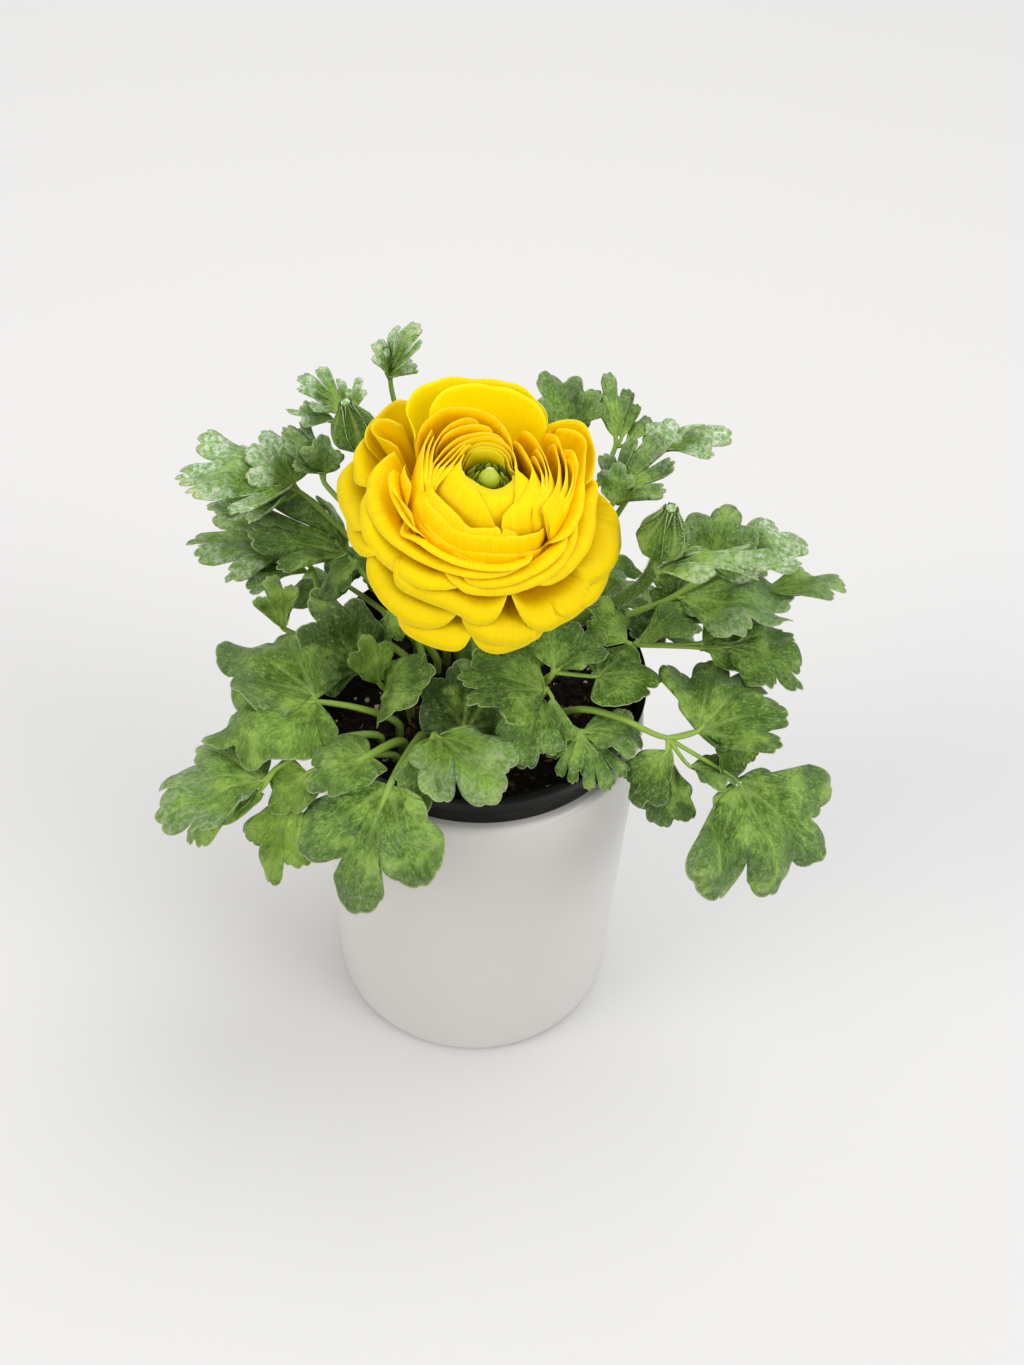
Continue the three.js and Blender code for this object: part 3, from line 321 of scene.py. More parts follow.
OPEN_PETALS = [
    {172: 25.6, 178: 26.3, 184: 25.7, 192: 24.6, 200: 24.4},
    {188: 29, 190: 30.3, 195: 29.4, 205: 27.9, 213: 27.4, 222: 28.4},
    {174: 31.6, 185: 31, 192: 30.9, 205: 30.2, 221: 29.9, 230: 29.6},
    {213: 31.5, 217: 33.9, 221: 33, 226: 31.9, 232: 31.4, 245: 31.5, 258: 31.7, 272: 31.8, 288: 31.9,
     300: 31.8, 303: 30.6},
    {318: 30.6, 330: 31.2, 345: 31, 360: 31.2, 370: 31.5, 380: 32.8, 388: 35, 394: 37.6, 398: 39.8, 403: 41,
     407: 39, 410: 35},
    {160: 34, 165: 36.6, 172: 38, 180: 37.9, 195: 37.3, 210: 36.4, 225: 35, 240: 34.2, 255: 33.7, 270: 33.5,
     285: 32.9, 300: 32.1},
    {258: 34.2, 263: 35.2, 270: 35.4, 285: 34.9, 300: 34, 315: 33.1, 325: 32.4, 332: 31.8},
    {250: 35.8, 258: 36.3, 263: 37, 285: 36.8, 300: 36.2, 315: 35.3, 325: 34.4, 333: 33.2, 340: 32,
     347: 31.6},
    {52: 30, 60: 32, 70: 33.4, 78: 35.5, 90: 37, 105: 38, 120: 36, 130: 33},
    {54: 32.4, 60: 34.9, 67: 36.6, 73: 39.3, 80: 40, 90: 40.5, 98: 41.3, 103: 43.5, 110: 45, 118: 45,
     125: 44, 130: 42.4, 135: 39.6, 140: 35, 144: 31.5, 149: 28.6},
    {12: 34.8, 20: 37, 30: 40.2, 38: 42.6, 43: 43.5, 47.5: 43.2, 50.5: 40, 52.5: 36, 54: 32},
    {141: 38, 142: 43.3, 145: 45.8, 148: 45.6, 151: 43, 154: 38.5, 157: 33.5},
    {176: 39, 190: 40, 205: 40.4, 220: 40, 230: 39.4, 243: 39, 252: 37.8, 258: 37.2, 264: 37},
    {297: 37.6, 315: 37.6, 330: 37.1, 345: 36.8, 355: 36.2, 364: 35.8, 372: 37.2, 375.5: 39, 378: 37.5},
    {128: 42.5, 130.5: 46, 133: 48.6, 136: 49, 140: 48.4, 145: 47.2, 150: 46.2, 155: 45},
    {147: 45, 152: 46.5, 157: 46.2, 162: 45.4, 166: 43.8, 172: 42.5, 178: 41},
    {224: 39, 229: 41.2, 234: 41.6, 245: 41.1, 255: 40.9, 263: 41.6, 269: 42.9, 275: 43.1, 280: 42,
     284: 39.6},
    {160: 44.8, 164: 47, 168: 48.5, 173: 48.1, 179: 46.7, 185: 45, 190: 44, 197: 43, 203: 41},
    {286: 39.3, 289: 42.3, 293: 44.7, 297: 45.9, 301: 46.5, 306: 46.2, 313: 46.3, 319: 46, 324: 45},
    {306: 37.6, 313: 38.9, 322: 41.8, 330: 43.6, 338: 44.9, 346: 46, 356: 46.5, 362: 46.3, 366: 45.4,
     369: 42.6, 371: 38},
    {186: 43.6, 192: 44.2, 200: 44.4, 206: 43.7, 211: 42.8, 217: 41},
    {210: 42.3, 216: 44, 222: 45.3, 230: 46.2, 237: 46.6, 243: 46.9, 250: 46.4, 256: 45.5, 262: 44},
    {262: 42.6, 267: 44.6, 272: 46.1, 280: 47.1, 288: 47.7, 296: 47.4, 301: 46.9},
    {316: 44.5, 320: 46.3, 326: 46.5, 333: 46.3, 338: 45.6, 343: 44.6},
    {236: 46.8, 240: 48, 244: 49, 250: 49.3, 258: 49.4, 265: 49.1, 268.5: 48.2, 270: 46.2},
    {268: 46.6, 271: 47.4, 275: 48.6, 280: 49.1, 285: 48.6, 290: 48.1, 296: 47.6},
]
PETAL_THICKNESS = 0.42
PETAL_GAP = 0.32
PETAL_START = 0.06
BALL_START = 0.25
PETAL_CORNER = 0.12
BALL_CORNER = 0.34
END_TUCK = 1.1
SIDE_THICKENING = 3.4
# Painted light: the tone added to the big petals at the back, which paints them lemon as if lit from above.
BACK_PAINTED_LIGHT = 2.4
SHELL_SINK = 0.42
SHELL_SHIFT = 0.81
OUTER_SHELL = 8
CARPEL_RINGS = [(6.1, 14, 36.2, 3.6), (4.4, 9, 37.2, 3.6), (1.8, 4, 36.6, 3)]
EYE_SHIFT = (0.3, 0.6)
KNOB_PLACE = (0.2, -1.7, 37)
KNOB_CAP_PLACE = (0.2, -0.5, 39.7)
BLOOM_ROOT = (0, 2)
BLOOM_STEM_RADIUS = 2.8
SEPAL_COUNT = 5
SEPAL_LENGTH = 19
# Pairs of height and radius for the green cup under the petals
CUP_PROFILE = [(-4.5, 2.4), (-3, 2.8), (-1.5, 4.0), (0.3, 6.4), (2, 8.4), (4.5, 8.0)]

BUDS = {
    "bud_left": {"root": (-5, 8), "via": [(-12, 18, 185), (-34, 36, 210)], "centre": (-48, 47, 236),
                 "lean": (-0.25, 0.12, 1), "radius": 7.4, "length": 18, "thick": 2, "bracts": []},
    "bud_right": {"root": (10, 5), "via": [(28, 9, 180), (53, 7, 204)], "centre": (58, -1, 236),
                  "lean": (0.1, 0, 1), "radius": 7.8, "length": 20, "thick": 2.8,
                  "bracts": [blade("cut", (57, -5, 222), (94, -1, 226), 0.14, fold=0.4, wide=0.45)]},
}
# Pairs of height and radius, as shares of a bud's length and radius
BUD_PROFILE = [(0.0, 0.3), (0.05, 0.5), (0.18, 0.84), (0.33, 1), (0.45, 0.98), (0.58, 0.86), (0.7, 0.64),
               (0.8, 0.46), (0.9, 0.3), (1.0, 0.2)]
BUD_SEPALS = 5
BUD_SEPAL_HALF = 50
BUD_SEPAL_THICKNESS = 0.4
HAIRS_ON_BUD = 420
HAIRS_ON_STEM = 900
HAIR_RADIUS = 0.09


def vec(values):
    return np.asarray(values, dtype=float)


def unit(vectors):
    vectors = vec(vectors)
    return vectors / np.maximum(np.linalg.norm(vectors, axis=-1, keepdims=True), 1e-9)


def smooth(low, high, values):
    share = np.clip((values - low) / (high - low), 0, 1)
    return share * share * (3 - 2 * share)


def mesh_of(name, points, faces):
    mesh = bpy.data.meshes.new(name)
    mesh.from_pydata((vec(points) * MM).tolist(), [], faces)
    return mesh


def linked(name, data):
    made = bpy.data.objects.new(name, data)
    bpy.context.scene.collection.objects.link(made)
    return made


class Pile:
    """Points, faces and per-point marks gathered into one mesh object."""

    def __init__(self):
        self.points = []
        self.faces = []
        self.marks = {"place": [], "look": []}
        self.count = 0

    def add(self, points, faces, place=(0, 0, 0), look=(0, 0, 0)):
        points = vec(points).reshape(-1, 3)
        self.points.append(points)
        self.faces += [[int(i) + self.count for i in face] for face in faces]
        for name, value in (("place", place), ("look", look)):
            self.marks[name].append(np.broadcast_to(vec(value).reshape(-1, 3), points.shape))
        self.count += len(points)

    def mesh(self, name):
        return mesh_of(name, np.concatenate(self.points), self.faces)

    def make(self, name, material, slot, *nodes):
        mesh = self.mesh(name)
        mesh.polygons.foreach_set("use_smooth", np.ones(len(self.faces), dtype=bool))
        for mark, values in self.marks.items():
            layer = mesh.attributes.new(mark, "FLOAT_VECTOR", "POINT")
            layer.data.foreach_set("vector", np.concatenate(values).astype(np.float32).ravel())
        mesh.materials.append(material)
        made = linked(name, mesh)
        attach(made, "root")
        if nodes:
            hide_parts(*nodes)
        return made


def shell_of(grid, thick):
    """A closed sheet about a grid of points, and its faces. Its first face looks along rows x columns."""
    rows, columns = grid.shape[:2]
    normal = unit(np.cross(np.gradient(grid, axis=0), np.gradient(grid, axis=1)))
    half = normal * np.broadcast_to(thick, (rows, columns))[..., None] / 2
    total = rows * columns
    at = np.arange(total).reshape(rows, columns)
    upper = np.stack([at[:-1, :-1], at[1:, :-1], at[1:, 1:], at[:-1, 1:]], axis=-1).reshape(-1, 4)
    edge = np.concatenate([at[:-1, 0], at[-1, :-1], at[:0:-1, -1], at[0, :0:-1]])
    after = np.roll(edge, -1)
    side = np.stack([after, edge, edge + total, after + total], axis=-1)
    faces = np.concatenate([upper, upper[:, ::-1] + total, side])
    return np.concatenate([(grid + half).reshape(-1, 3), (grid - half).reshape(-1, 3)]), faces.tolist()


def ring_faces(rows, columns):
    """The quads round a body of rings, and a cap on its first and last ring."""
    at = np.arange(rows * columns).reshape(rows, columns)
    after = np.roll(at, -1, axis=1)
    quads = np.stack([at[:-1], after[:-1], after[1:], at[1:]], axis=-1).reshape(-1, 4).tolist()
    return quads + [at[0, ::-1].tolist(), at[-1].tolist()]


def both_sides(marks):
    return np.tile(marks.reshape(-1, 3), (2, 1))


def tube(centres, radii, sides=10, groove=0.0):
    """A closed round bar through its ring centres. A groove runs along its upper side."""
    centres = vec(centres)
    radii = np.broadcast_to(radii, len(centres))
    tangents = unit(np.gradient(centres, axis=0))
    normal = vec((0, -1, 0))
    turns = np.arange(sides) * 2 * np.pi / sides
    rings = []
    for centre, tangent, radius in zip(centres, tangents, radii):
        normal = unit(normal - tangent * normal.dot(tangent))
        across = np.cross(tangent, normal)
        spokes = np.outer(np.cos(turns), normal) + np.outer(np.sin(turns), across)
        dip = 1 - groove * np.exp(-((1 - spokes[:, 2]) / 0.25) ** 2)
        rings.append(centre + spokes * (radius * dip)[:, None])
    return np.concatenate(rings), ring_faces(len(centres), sides)


def curve(points, step=3.0):
    """The CAD's smooth line through points, a centripetal spline, evenly walked."""
    points = vec(points)
    ends = [2 * points[0] - points[1], *points, 2 * points[-1] - points[-2]]
    line = []
    for a, b, c, d in zip(ends[1:], ends[2:], ends[3:], ends[4:]):
        gaps = [max(np.linalg.norm(q - p) ** 0.5, 1e-4) for p, q in ((a, b), (b, c), (c, d))]
        leave = ((b - a) / gaps[0] - (c - a) / (gaps[0] + gaps[1]) + (c - b) / gaps[1]) * gaps[1]
        arrive = ((c - b) / gaps[1] - (d - b) / (gaps[1] + gaps[2]) + (d - c) / gaps[2]) * gaps[1]
        count = max(2, round(np.linalg.norm(c - b) / step))
        t = np.arange(count)[:, None] / count
        line.append(b + leave * t + (3 * (c - b) - 2 * leave - arrive) * t**2
                    + (2 * (b - c) + leave + arrive) * t**3)
    return np.concatenate([*line, points[-1:]])


def stalk_line(root, places):
    """A stalk's centres: its foot in the soil, then the smooth line from where it is clear of it."""
    foot = vec([*root, STALK_FOOT])
    return np.concatenate([[foot], curve([foot, vec([*root, STALK_CLEAR]), *map(vec, places)])])


def dome(share):
    return np.cbrt(np.maximum(0, 1 - np.abs(share) ** 2.5))


def lobe_reach(angles, at, far, half):
    """How far a round lobe's outline lies from the blade's base at each angle. Beside the lobe it is 0."""
    spread = np.sin(np.radians(half))
    centre = far / (1 + spread)
    off = np.radians(np.clip(angles - at, -half, half))
    inside = np.maximum(0, spread**2 - np.sin(off) ** 2)
    return np.where(np.abs(angles - at) < half, centre * (np.cos(off) + np.sqrt(inside)), 0)


def reach_at(kind, angles, jitter):
    """The outline's distance from the base at each angle, with the rounded teeth that each lobe has."""
    web, shoulder, lobes, teeth, depth = BLADE_KINDS[kind]
    span = lobes[-1][0] + lobes[-1][2] + shoulder
    reach = np.maximum(0.12, web * dome(angles / span))
    for (at, far, half), shift in zip(lobes, jitter):
        phase = teeth / 2 * ((angles - at) / half + 0.15 * shift)
        tooth = np.abs(np.cos(np.pi * phase)) ** 0.45
        lobe = lobe_reach(angles, at, far * (1 + 0.05 * shift), half) * (1 + depth * (tooth - 0.75))
        reach = np.maximum(reach, lobe)
    return reach * np.clip((span - np.abs(angles)) / 9, 0.02, 1) ** 0.5


def blade_axes(row):
    along = vec(row["to"]) - vec(row["from"])
    size = np.linalg.norm(along)
    along /= size
    up = unit(vec((0, 0, 1)) - along * along[2])
    return size, along, np.cross(up, along), up


def blade_grid(row, jitter, waves):
    """A blade's middle surface as a grid of rows from its base out, and marks for its veins."""
    size, along, across, up = blade_axes(row)
    _, shoulder, lobes, _, _ = BLADE_KINDS[row["kind"]]
    first = lobes[0][0] - lobes[0][2] - shoulder
    last = lobes[-1][0] + lobes[-1][2] + shoulder
    columns = int(np.clip(np.radians(last - first) * size / RIM_STEP, 34, 130))
    rows = int(np.clip(size / ROW_STEP, 8, 20))
    angles = np.linspace(first, last, columns)
    share = np.linspace(0.04, 1, rows)[:, None]
    far = share * reach_at(row["kind"], angles, jitter)
    a = far * np.cos(np.radians(angles))
    b = far * np.sin(np.radians(angles)) * row["wide"]
    ripple = 0.03 * far**2 * np.sin(np.radians(7 * angles) + row["from"][0])
    height = row["arch"] * 4 * a * (1 - a) + row["cup"] * b * b - row["fold"] * np.abs(b) + ripple
    flat = np.stack([a, b], axis=-1) * size
    length, apart = vein_marks(flat, lobes, row["wide"])
    quilt = QUILT * smooth(0, 3.2, apart) * smooth(0.05, 0.3, share) * min(1, size / 30)
    droop = -DROOP * share**5 * smooth(1, 5, apart) * min(1, size / 30)
    turned = np.sin(np.radians(angles) * 180 / (lobes[1][0] - lobes[0][0]) + jitter[0])
    lift = 0.03 * size * turned * smooth(0.45, 1, share)
    uneven = waves_at(flat, waves) * smooth(0.1, 0.6, share) * size * WAVES
    relief = quilt + droop + lift + uneven
    place = a[..., None] * size * along + b[..., None] * size * across
    grid = vec(row["from"]) + place + (height * size + relief)[..., None] * up
    marks = np.stack([length, apart, np.broadcast_to(share, far.shape)], axis=-1)
    return grid, marks


def vein_marks(flat, lobes, wide):
    """How far along the nearest lobe's vein each point lies, and how far from it, in millimetres."""
    length = np.zeros(flat.shape[:2])
    apart = np.full(flat.shape[:2], 1e3)
    for at, _, _ in lobes:
        line = unit((np.cos(np.radians(at)), np.sin(np.radians(at)) * wide))
        off = np.abs(flat[..., 0] * line[1] - flat[..., 1] * line[0])
        on = flat @ line
        nearer = off < apart
        apart = np.where(nearer, off, apart)
        length = np.where(nearer, on, length)
    return length, apart


def waves_at(flat, waves):
    """A smooth uneven height over a flat blade, from a few crossing waves."""
    return sum(np.sin(flat @ vec(direction) + phase) for direction, phase in waves)


def random_waves(size, count=4):
    turns = random.uniform(0, 2 * np.pi, count)
    rates = random.uniform(6, 15, count) / size
    phases = random.uniform(0, 2 * np.pi, count)
    return [((rate * np.cos(turn), rate * np.sin(turn)), phase)
            for turn, rate, phase in zip(turns, rates, phases)]


def add_blade(pile, row, look):
    size, _, _, _ = blade_axes(row)
    jitter = random.uniform(-1, 1, 5)
    grid, marks = blade_grid(row, jitter, random_waves(size))
    pile.add(*shell_of(grid, BLADE_THICKNESS * (1 - 0.5 * marks[..., 2] ** 3)), both_sides(marks), look)
    middle = grid[:, grid.shape[1] // 2]
    return middle[: max(3, grid.shape[0] // 2)]


def add_leaf(pile, row):
    """A leaf's stalk into its first blade, and a neck to each further blade, ending as a rib underneath."""
    start = vec(row["joint"])
    young, pale, dark = row["look"]
    for place, blade_row in enumerate(row["blades"]):
        thick = row["thick"]
        _, _, _, up = blade_axes(blade_row)
        look = (young, pale + random.uniform(0, 0.15), dark + random.uniform(0, 0.3))
        look = vec(look) + blade_row["tone"]
        rib = add_blade(pile, blade_row, look) - up * RIB_DEPTH
        base = vec(blade_row["from"])
        bend = [base] if np.linalg.norm(base - start) > 1 else []
        if place == 0:
            line = stalk_line(row["root"], [*row["via"], start, *bend, rib[1]])
        else:
            line = curve([2 * start - vec(rib[0]), start, *bend, rib[1]])
        first, last = (1, NECK_START) if place == 0 else (NECK_START, NECK_END)
        radii = np.linspace(thick * first, thick * last, len(line))
        ends = np.linspace(radii[-1], RIB_END, len(rib) - 1)[1:]
        line = np.concatenate([line, rib[2:]])
        points, faces = tube(line, np.concatenate([radii, ends]), 10, STALK_GROOVE)
        pile.add(points, faces, (0, 9, 0), (young, 0.6 * pale, -1))


def back_leaves():
    rows = {}
    specs = [(turn, LOW_BACK_LEAF) for turn in BACK_LOW] + [(turn, HIGH_BACK_LEAF) for turn in BACK_HIGH]
    for number, (turn, (kind, wide, root, joint, tip, rise, fall)) in enumerate(specs, 1):
        x, y = np.cos(np.radians(turn)), np.sin(np.radians(turn))
        start = (joint * x, joint * y, rise)
        rows[f"leaf_back_{number}"] = leaf((root * x, root * y), start, [
            blade(kind, start, (tip * x, tip * y, fall), 0.12, wide=wide)], dark=0.2)
    return rows


# Bloom
def bloom_matrix():
    back = Matrix.Rotation(np.radians(BLOOM_LEAN), 3, "X")
    aside = Matrix.Rotation(np.radians(BLOOM_SIDE_LEAN), 3, "Y")
    return np.array(back @ aside)


def in_bloom(points):
    return vec(points) @ bloom_matrix().T + vec(BLOOM_BASE)


def rim_radius(points, angles):
    """The radius of a petal's rim at each angle: straight between its points, then rounded off."""
    fine = np.arange(min(points), max(points) + 0.5, 0.5)
    radius = np.interp(fine, list(points), list(points.values()))
    padded = np.pad(radius, 6, mode="reflect", reflect_type="odd")
    radius = np.convolve(padded, np.hanning(15)[1:-1] / np.hanning(15).sum(), mode="valid")
    return np.interp(angles, fine, radius)


def looked_up(values, table):
    return np.interp(values, [a for a, _ in table], [b for _, b in table])


def petal_profile(rim, turn, shell):
    """The four control points, as (radius, height), of each column's curve from foot to rim."""
    back = BACK_LIFT * np.maximum(0, np.sin(turn)) * np.minimum(1, rim / BACK_RIM) ** 2
    end = np.stack([rim, looked_up(rim, DOME) + back], axis=-1)
    foot = np.broadcast_to(PETAL_FOOT, end.shape)
    belly = np.stack([looked_up(rim, BOWL_RADIUS), end[:, 1] * 0.12], axis=-1)
    bowl = [foot, foot + (belly - foot) * 2 / 3, end + (belly - end) * 2 / 3, end]
    low = np.stack([np.full(len(rim), LOW_RADIUS), looked_up(rim, LOW_HEIGHT)], axis=-1)
    shelf = np.stack([looked_up(rim, SHELF_RADIUS), end[:, 1] + looked_up(rim, SHELF_LIFT)], axis=-1)
    upright = end - UPRIGHT_DRAW
    behind = smooth(0.0, 0.6, np.sin(turn))[:, None]
    flare = smooth(*FLARE, rim)[:, None]
    bowl[1] = bowl[1] + (low - bowl[1]) * flare * (1 - behind)
    bowl[2] = bowl[2] + (shelf + (upright - shelf) * behind - bowl[2]) * flare
    if shell is None:
        return bowl
    deep = OUTER_SHELL - shell
    wrap_end = np.stack([looked_up(rim, WRAP_END_RADIUS), looked_up(rim, WRAP_END_HEIGHT)], axis=-1)
    upper = np.stack([np.full(len(rim), 28.0 - 0.45 * deep), looked_up(rim, WRAP_HEIGHT)], axis=-1)
    lower = np.broadcast_to((30 - 0.6 * deep, 2.6), end.shape)
    front = smooth(-0.35, 0.4, -np.sin(turn))[:, None]
    sink = np.array((0, SHELL_SINK * deep))
    wrap = [foot, lower, upper, wrap_end]
    return [a + (b - a) * front - sink * at for a, b, at in zip(bowl, wrap, (0, 0, 1, 1))]


def petal_grid(points, shell, reach):
    """A petal's surface from its foot to its rim, outside the petals that are there, and its marks."""
    first, last = min(points), max(points)
    middle = np.mean(list(points.values()))
    step = 1.1 if shell is None else 0.55
    columns = int(np.clip(np.radians(last - first) * middle / step, 14, 90))
    rows = 14 if shell is None else 11
    degrees = np.linspace(first, last, columns)
    bins = np.round(degrees * 2).astype(int) % 720
    rim = np.maximum(rim_radius(points, degrees), reach[bins] + PETAL_GAP)
    covered = np.arange(int(first * 2), int(last * 2) + 1)
    reach[covered % 720] = np.maximum(reach[covered % 720], np.interp(covered / 2, degrees, rim))
    turn = np.radians(degrees)
    across = np.linspace(-1, 1, columns)
    start = PETAL_START if shell is None else BALL_START
    along = np.linspace(0, 1, rows)[:, None] ** 0.85
    round_off = 0 if shell is None else BALL_CORNER * smooth(0.3, 0.8, -np.sin(turn))
    corner = np.maximum(PETAL_CORNER * np.abs(across) ** 8, round_off * np.abs(across) ** 5)
    share = start + (1 - start) * along * (1 - corner)
    a, b, c, d = (part[None] for part in petal_profile(rim, turn, shell))
    t = share[..., None]
    spot = a * (1 - t) ** 3 + 3 * b * t * (1 - t) ** 2 + 3 * c * t * t * (1 - t) + d * t**3
    loose = smooth(12, 45, rim) * smooth(0.55, 1, along)
    wave = loose * (0.5 * np.sin(turn * 9 + middle) + 0.25 * np.sin(turn * 23 + 2 * middle))
    radius = spot[..., 0] + 0.5 * wave
    height = spot[..., 1] + 0.7 * wave
    shift = 0 if shell is None else SHELL_SHIFT * SHELL_SINK * (OUTER_SHELL - shell) * height / 43
    grid = np.stack([radius * np.cos(turn), radius * np.sin(turn) + shift, height], axis=-1)
    if shell is not None:
        steps = np.linalg.norm(np.diff(grid[-1], axis=0), axis=-1)
        walked = np.concatenate([[0], np.cumsum(steps)])
        from_end = np.minimum(walked, walked[-1] - walked)
        fade = smooth(0, min(6, 0.13 * walked[-1]), from_end)
        tuck = END_TUCK * (1 - fade) * smooth(0.1, 0.5, along)
        grid -= tuck[..., None] * unit(grid - (0, 0, 20))
    marks = np.stack(np.broadcast_arrays(turn * middle, along, np.abs(across)), axis=-1)
    return grid, marks, degrees


def add_petals(pile):
    reach = np.zeros(720)
    rows = [(1, *row) for row in EYE_PETALS] + [(0, *row) for row in BALL_PETALS]
    rows += [(0, None, row) for row in OPEN_PETALS]
    for green, shell, points in rows:
        grid, marks, turns = petal_grid(points, shell, reach)
        along = marks[..., 1]
        thick = PETAL_THICKNESS * (1 - 0.5 * along)
        if shell is not None:
            behind = smooth(-0.5, 0.1, np.sin(np.radians(turns)))
            thick = thick * (1 + SIDE_THICKENING * behind * (1 - along**18))
        body, faces = shell_of(grid, thick)
        size = np.mean(list(points.values()))
        # The big petals at the back get a painted highlight: their tone is raised so that they paint lemon.
        at_back = BACK_TURNS[0] < turns.mean() < BACK_TURNS[1]
        lit_behind = BACK_PAINTED_LIGHT if at_back and size > 30 else 0
        look = (random.uniform(0, 1) + lit_behind, size / 48, green)
        pile.add(in_bloom(body), faces, both_sides(marks), look)


def ball(centre, axes, rows=9, columns=14, power=1.0):
    """A closed egg: axes are its three half-axes as vectors, the last one pointing to its narrow end."""
    polar = np.linspace(0.02, np.pi - 0.02, rows)[:, None]
    turn = (np.arange(columns) * 2 * np.pi / columns)[None, :]
    narrow = np.sin(polar) * (1 + 0.18 * np.cos(polar) * (power - 1))
    axes = vec(axes)
    grid = (vec(centre) + (narrow * np.cos(turn))[..., None] * axes[0]
            + (narrow * np.sin(turn))[..., None] * axes[1]
            - (np.cos(polar) + 0 * turn)[..., None] * axes[2])
    return grid.reshape(-1, 3), ring_faces(rows, columns)


def add_carpels(pile):
    """The eye: rings of pointed olive carpels round a smooth pale knob."""
    for ring, (radius, count, top, length) in enumerate(CARPEL_RINGS):
        for place in range(count):
            turn = np.radians(360 * (place + 0.5 * ring) / count + random.uniform(-8, 8))
            out = vec((np.cos(turn), np.sin(turn), 0))
            axis = unit(out * -0.35 + vec((0, 0, 1))) * length * random.uniform(0.8, 1.15)
            side = np.cross(out, (0, 0, 1)) * 1.05
            centre = out * radius + vec((*EYE_SHIFT, top - 1.5))
            points, faces = ball(centre, (side, out * 0.8, axis), 8, 8, 4.6)
            pile.add(in_bloom(points), faces, look=(random.uniform(0, 1) ** 1.4, 0, 0))
    for place, size, tone in ((KNOB_PLACE, 3.3, 0), (KNOB_CAP_PLACE, 1.7, 1)):
        axes = ((size, 0, 0), (0, size * 0.94, 0), (0, 0.3, size * (1.35 - 0.5 * tone)))
        points, faces = ball(place, axes, 14, 24, 0.3)
        pile.add(in_bloom(points), faces, look=(1, 1, tone))
    points, faces = ball((*EYE_SHIFT, 31.5), ((6.6, 0, 0), (0, 6.6, 0), (0, 0, 4)), 10, 20)
    pile.add(in_bloom(points), faces, look=(0, 0, 0))


def add_bloom_stem(pile):
    line = np.concatenate([stalk_line(BLOOM_ROOT, [in_bloom((0, 0, -14))]), [in_bloom((0, 0, -1.5))]])
    points, faces = tube(line, np.linspace(BLOOM_STEM_RADIUS, BLOOM_STEM_RADIUS * 0.85, len(line)), 16)
    pile.add(points, faces, look=(0.2, 0, -1))
    heights, radii = zip(*CUP_PROFILE)
    pile.add(*tube([in_bloom((0, 0, z)) for z in heights], radii, 24), look=(0.2, 0, -1))
    for place in range(SEPAL_COUNT):
        turn = np.radians(360 * place / SEPAL_COUNT + 20)
        start = in_bloom((2 * np.cos(turn), 2 * np.sin(turn), -1.6))
        tip = in_bloom((SEPAL_LENGTH * np.cos(turn), SEPAL_LENGTH * np.sin(turn), 3.6))
        add_blade(pile, blade("sepal", tuple(start), tuple(tip), -0.04), (0.4, 0, 0))


# Buds
def bud_frame(row):
    axis = unit(row["lean"])
    side = unit(np.cross((0, 1, 0), axis))
    return axis, side, np.cross(axis, side)


def bud_point(row, height, turn, out=0.0):
    """Points on a bud's globe, a share of the way up, at turns in radians, and so far out of it."""
    axis, side, front = bud_frame(row)
    radius = (row["radius"] * looked_up(height, BUD_PROFILE) + out)[..., None]
    foot = vec(row["centre"]) - axis * row["length"] / 2
    up = (height * row["length"])[..., None] * axis
    return foot + up + radius * (np.cos(turn)[..., None] * side + np.sin(turn)[..., None] * front)


def add_bud(pile, row):
    turns = np.linspace(0, 2 * np.pi, 41)[None, :-1]
    heights = np.linspace(0, 1, 14)[:, None]
    height, turn = np.broadcast_arrays(heights, turns)
    core = bud_point(row, height, turn, np.full(height.shape, -0.5))
    pile.add(core, ring_faces(*height.shape), look=(0.1, 0, 0.3))
    for place in range(BUD_SEPALS):
        add_sepal(pile, row, 2 * np.pi * place / BUD_SEPALS, 0.25 + 0.3 * (place % 2))
    axis, side, front = bud_frame(row)
    beak = vec(row["centre"]) + axis * row["length"] * 0.49
    pile.add(*ball(beak, (side * 1.7, front * 1.7, axis * 1.3), 8, 14), (0, 4, 0.9), look=(0.5, 1, 0))


def add_sepal(pile, row, middle, lift):
    """One sepal, wrapped on the globe: keeled, with its edges a little proud and its tip at the apex."""
    along = np.linspace(0, 1, 22)[:, None]
    across = np.linspace(-1, 1, 17)[None, :]
    half = np.radians(BUD_SEPAL_HALF) * (1 - 0.6 * along**2.2)
    turn = middle + across * half + 0.16 * along
    keel = 0.5 * np.exp(-((across / 0.16) ** 2)) * smooth(0, 0.2, along)
    edge = 0.35 * np.abs(across) ** 6
    tip = 0.35 * smooth(0.9, 1.0, along)
    height, turn = np.broadcast_arrays(along, turn)
    grid = bud_point(row, height, turn, lift + keel + edge + tip * (0.3 + across**2))
    marks = np.stack(np.broadcast_arrays(along * row["length"], np.abs(across) * 5, np.abs(across)), axis=-1)
    pile.add(*shell_of(grid, BUD_SEPAL_THICKNESS), both_sides(marks), (0.1, 0, 0.45))


def bud_stem_line(row):
    axis = unit(row["lean"])
    foot = vec(row["centre"]) - axis * row["length"] / 2
    return stalk_line(row["root"], [*row["via"], foot, foot + axis * row["length"] * 0.15])


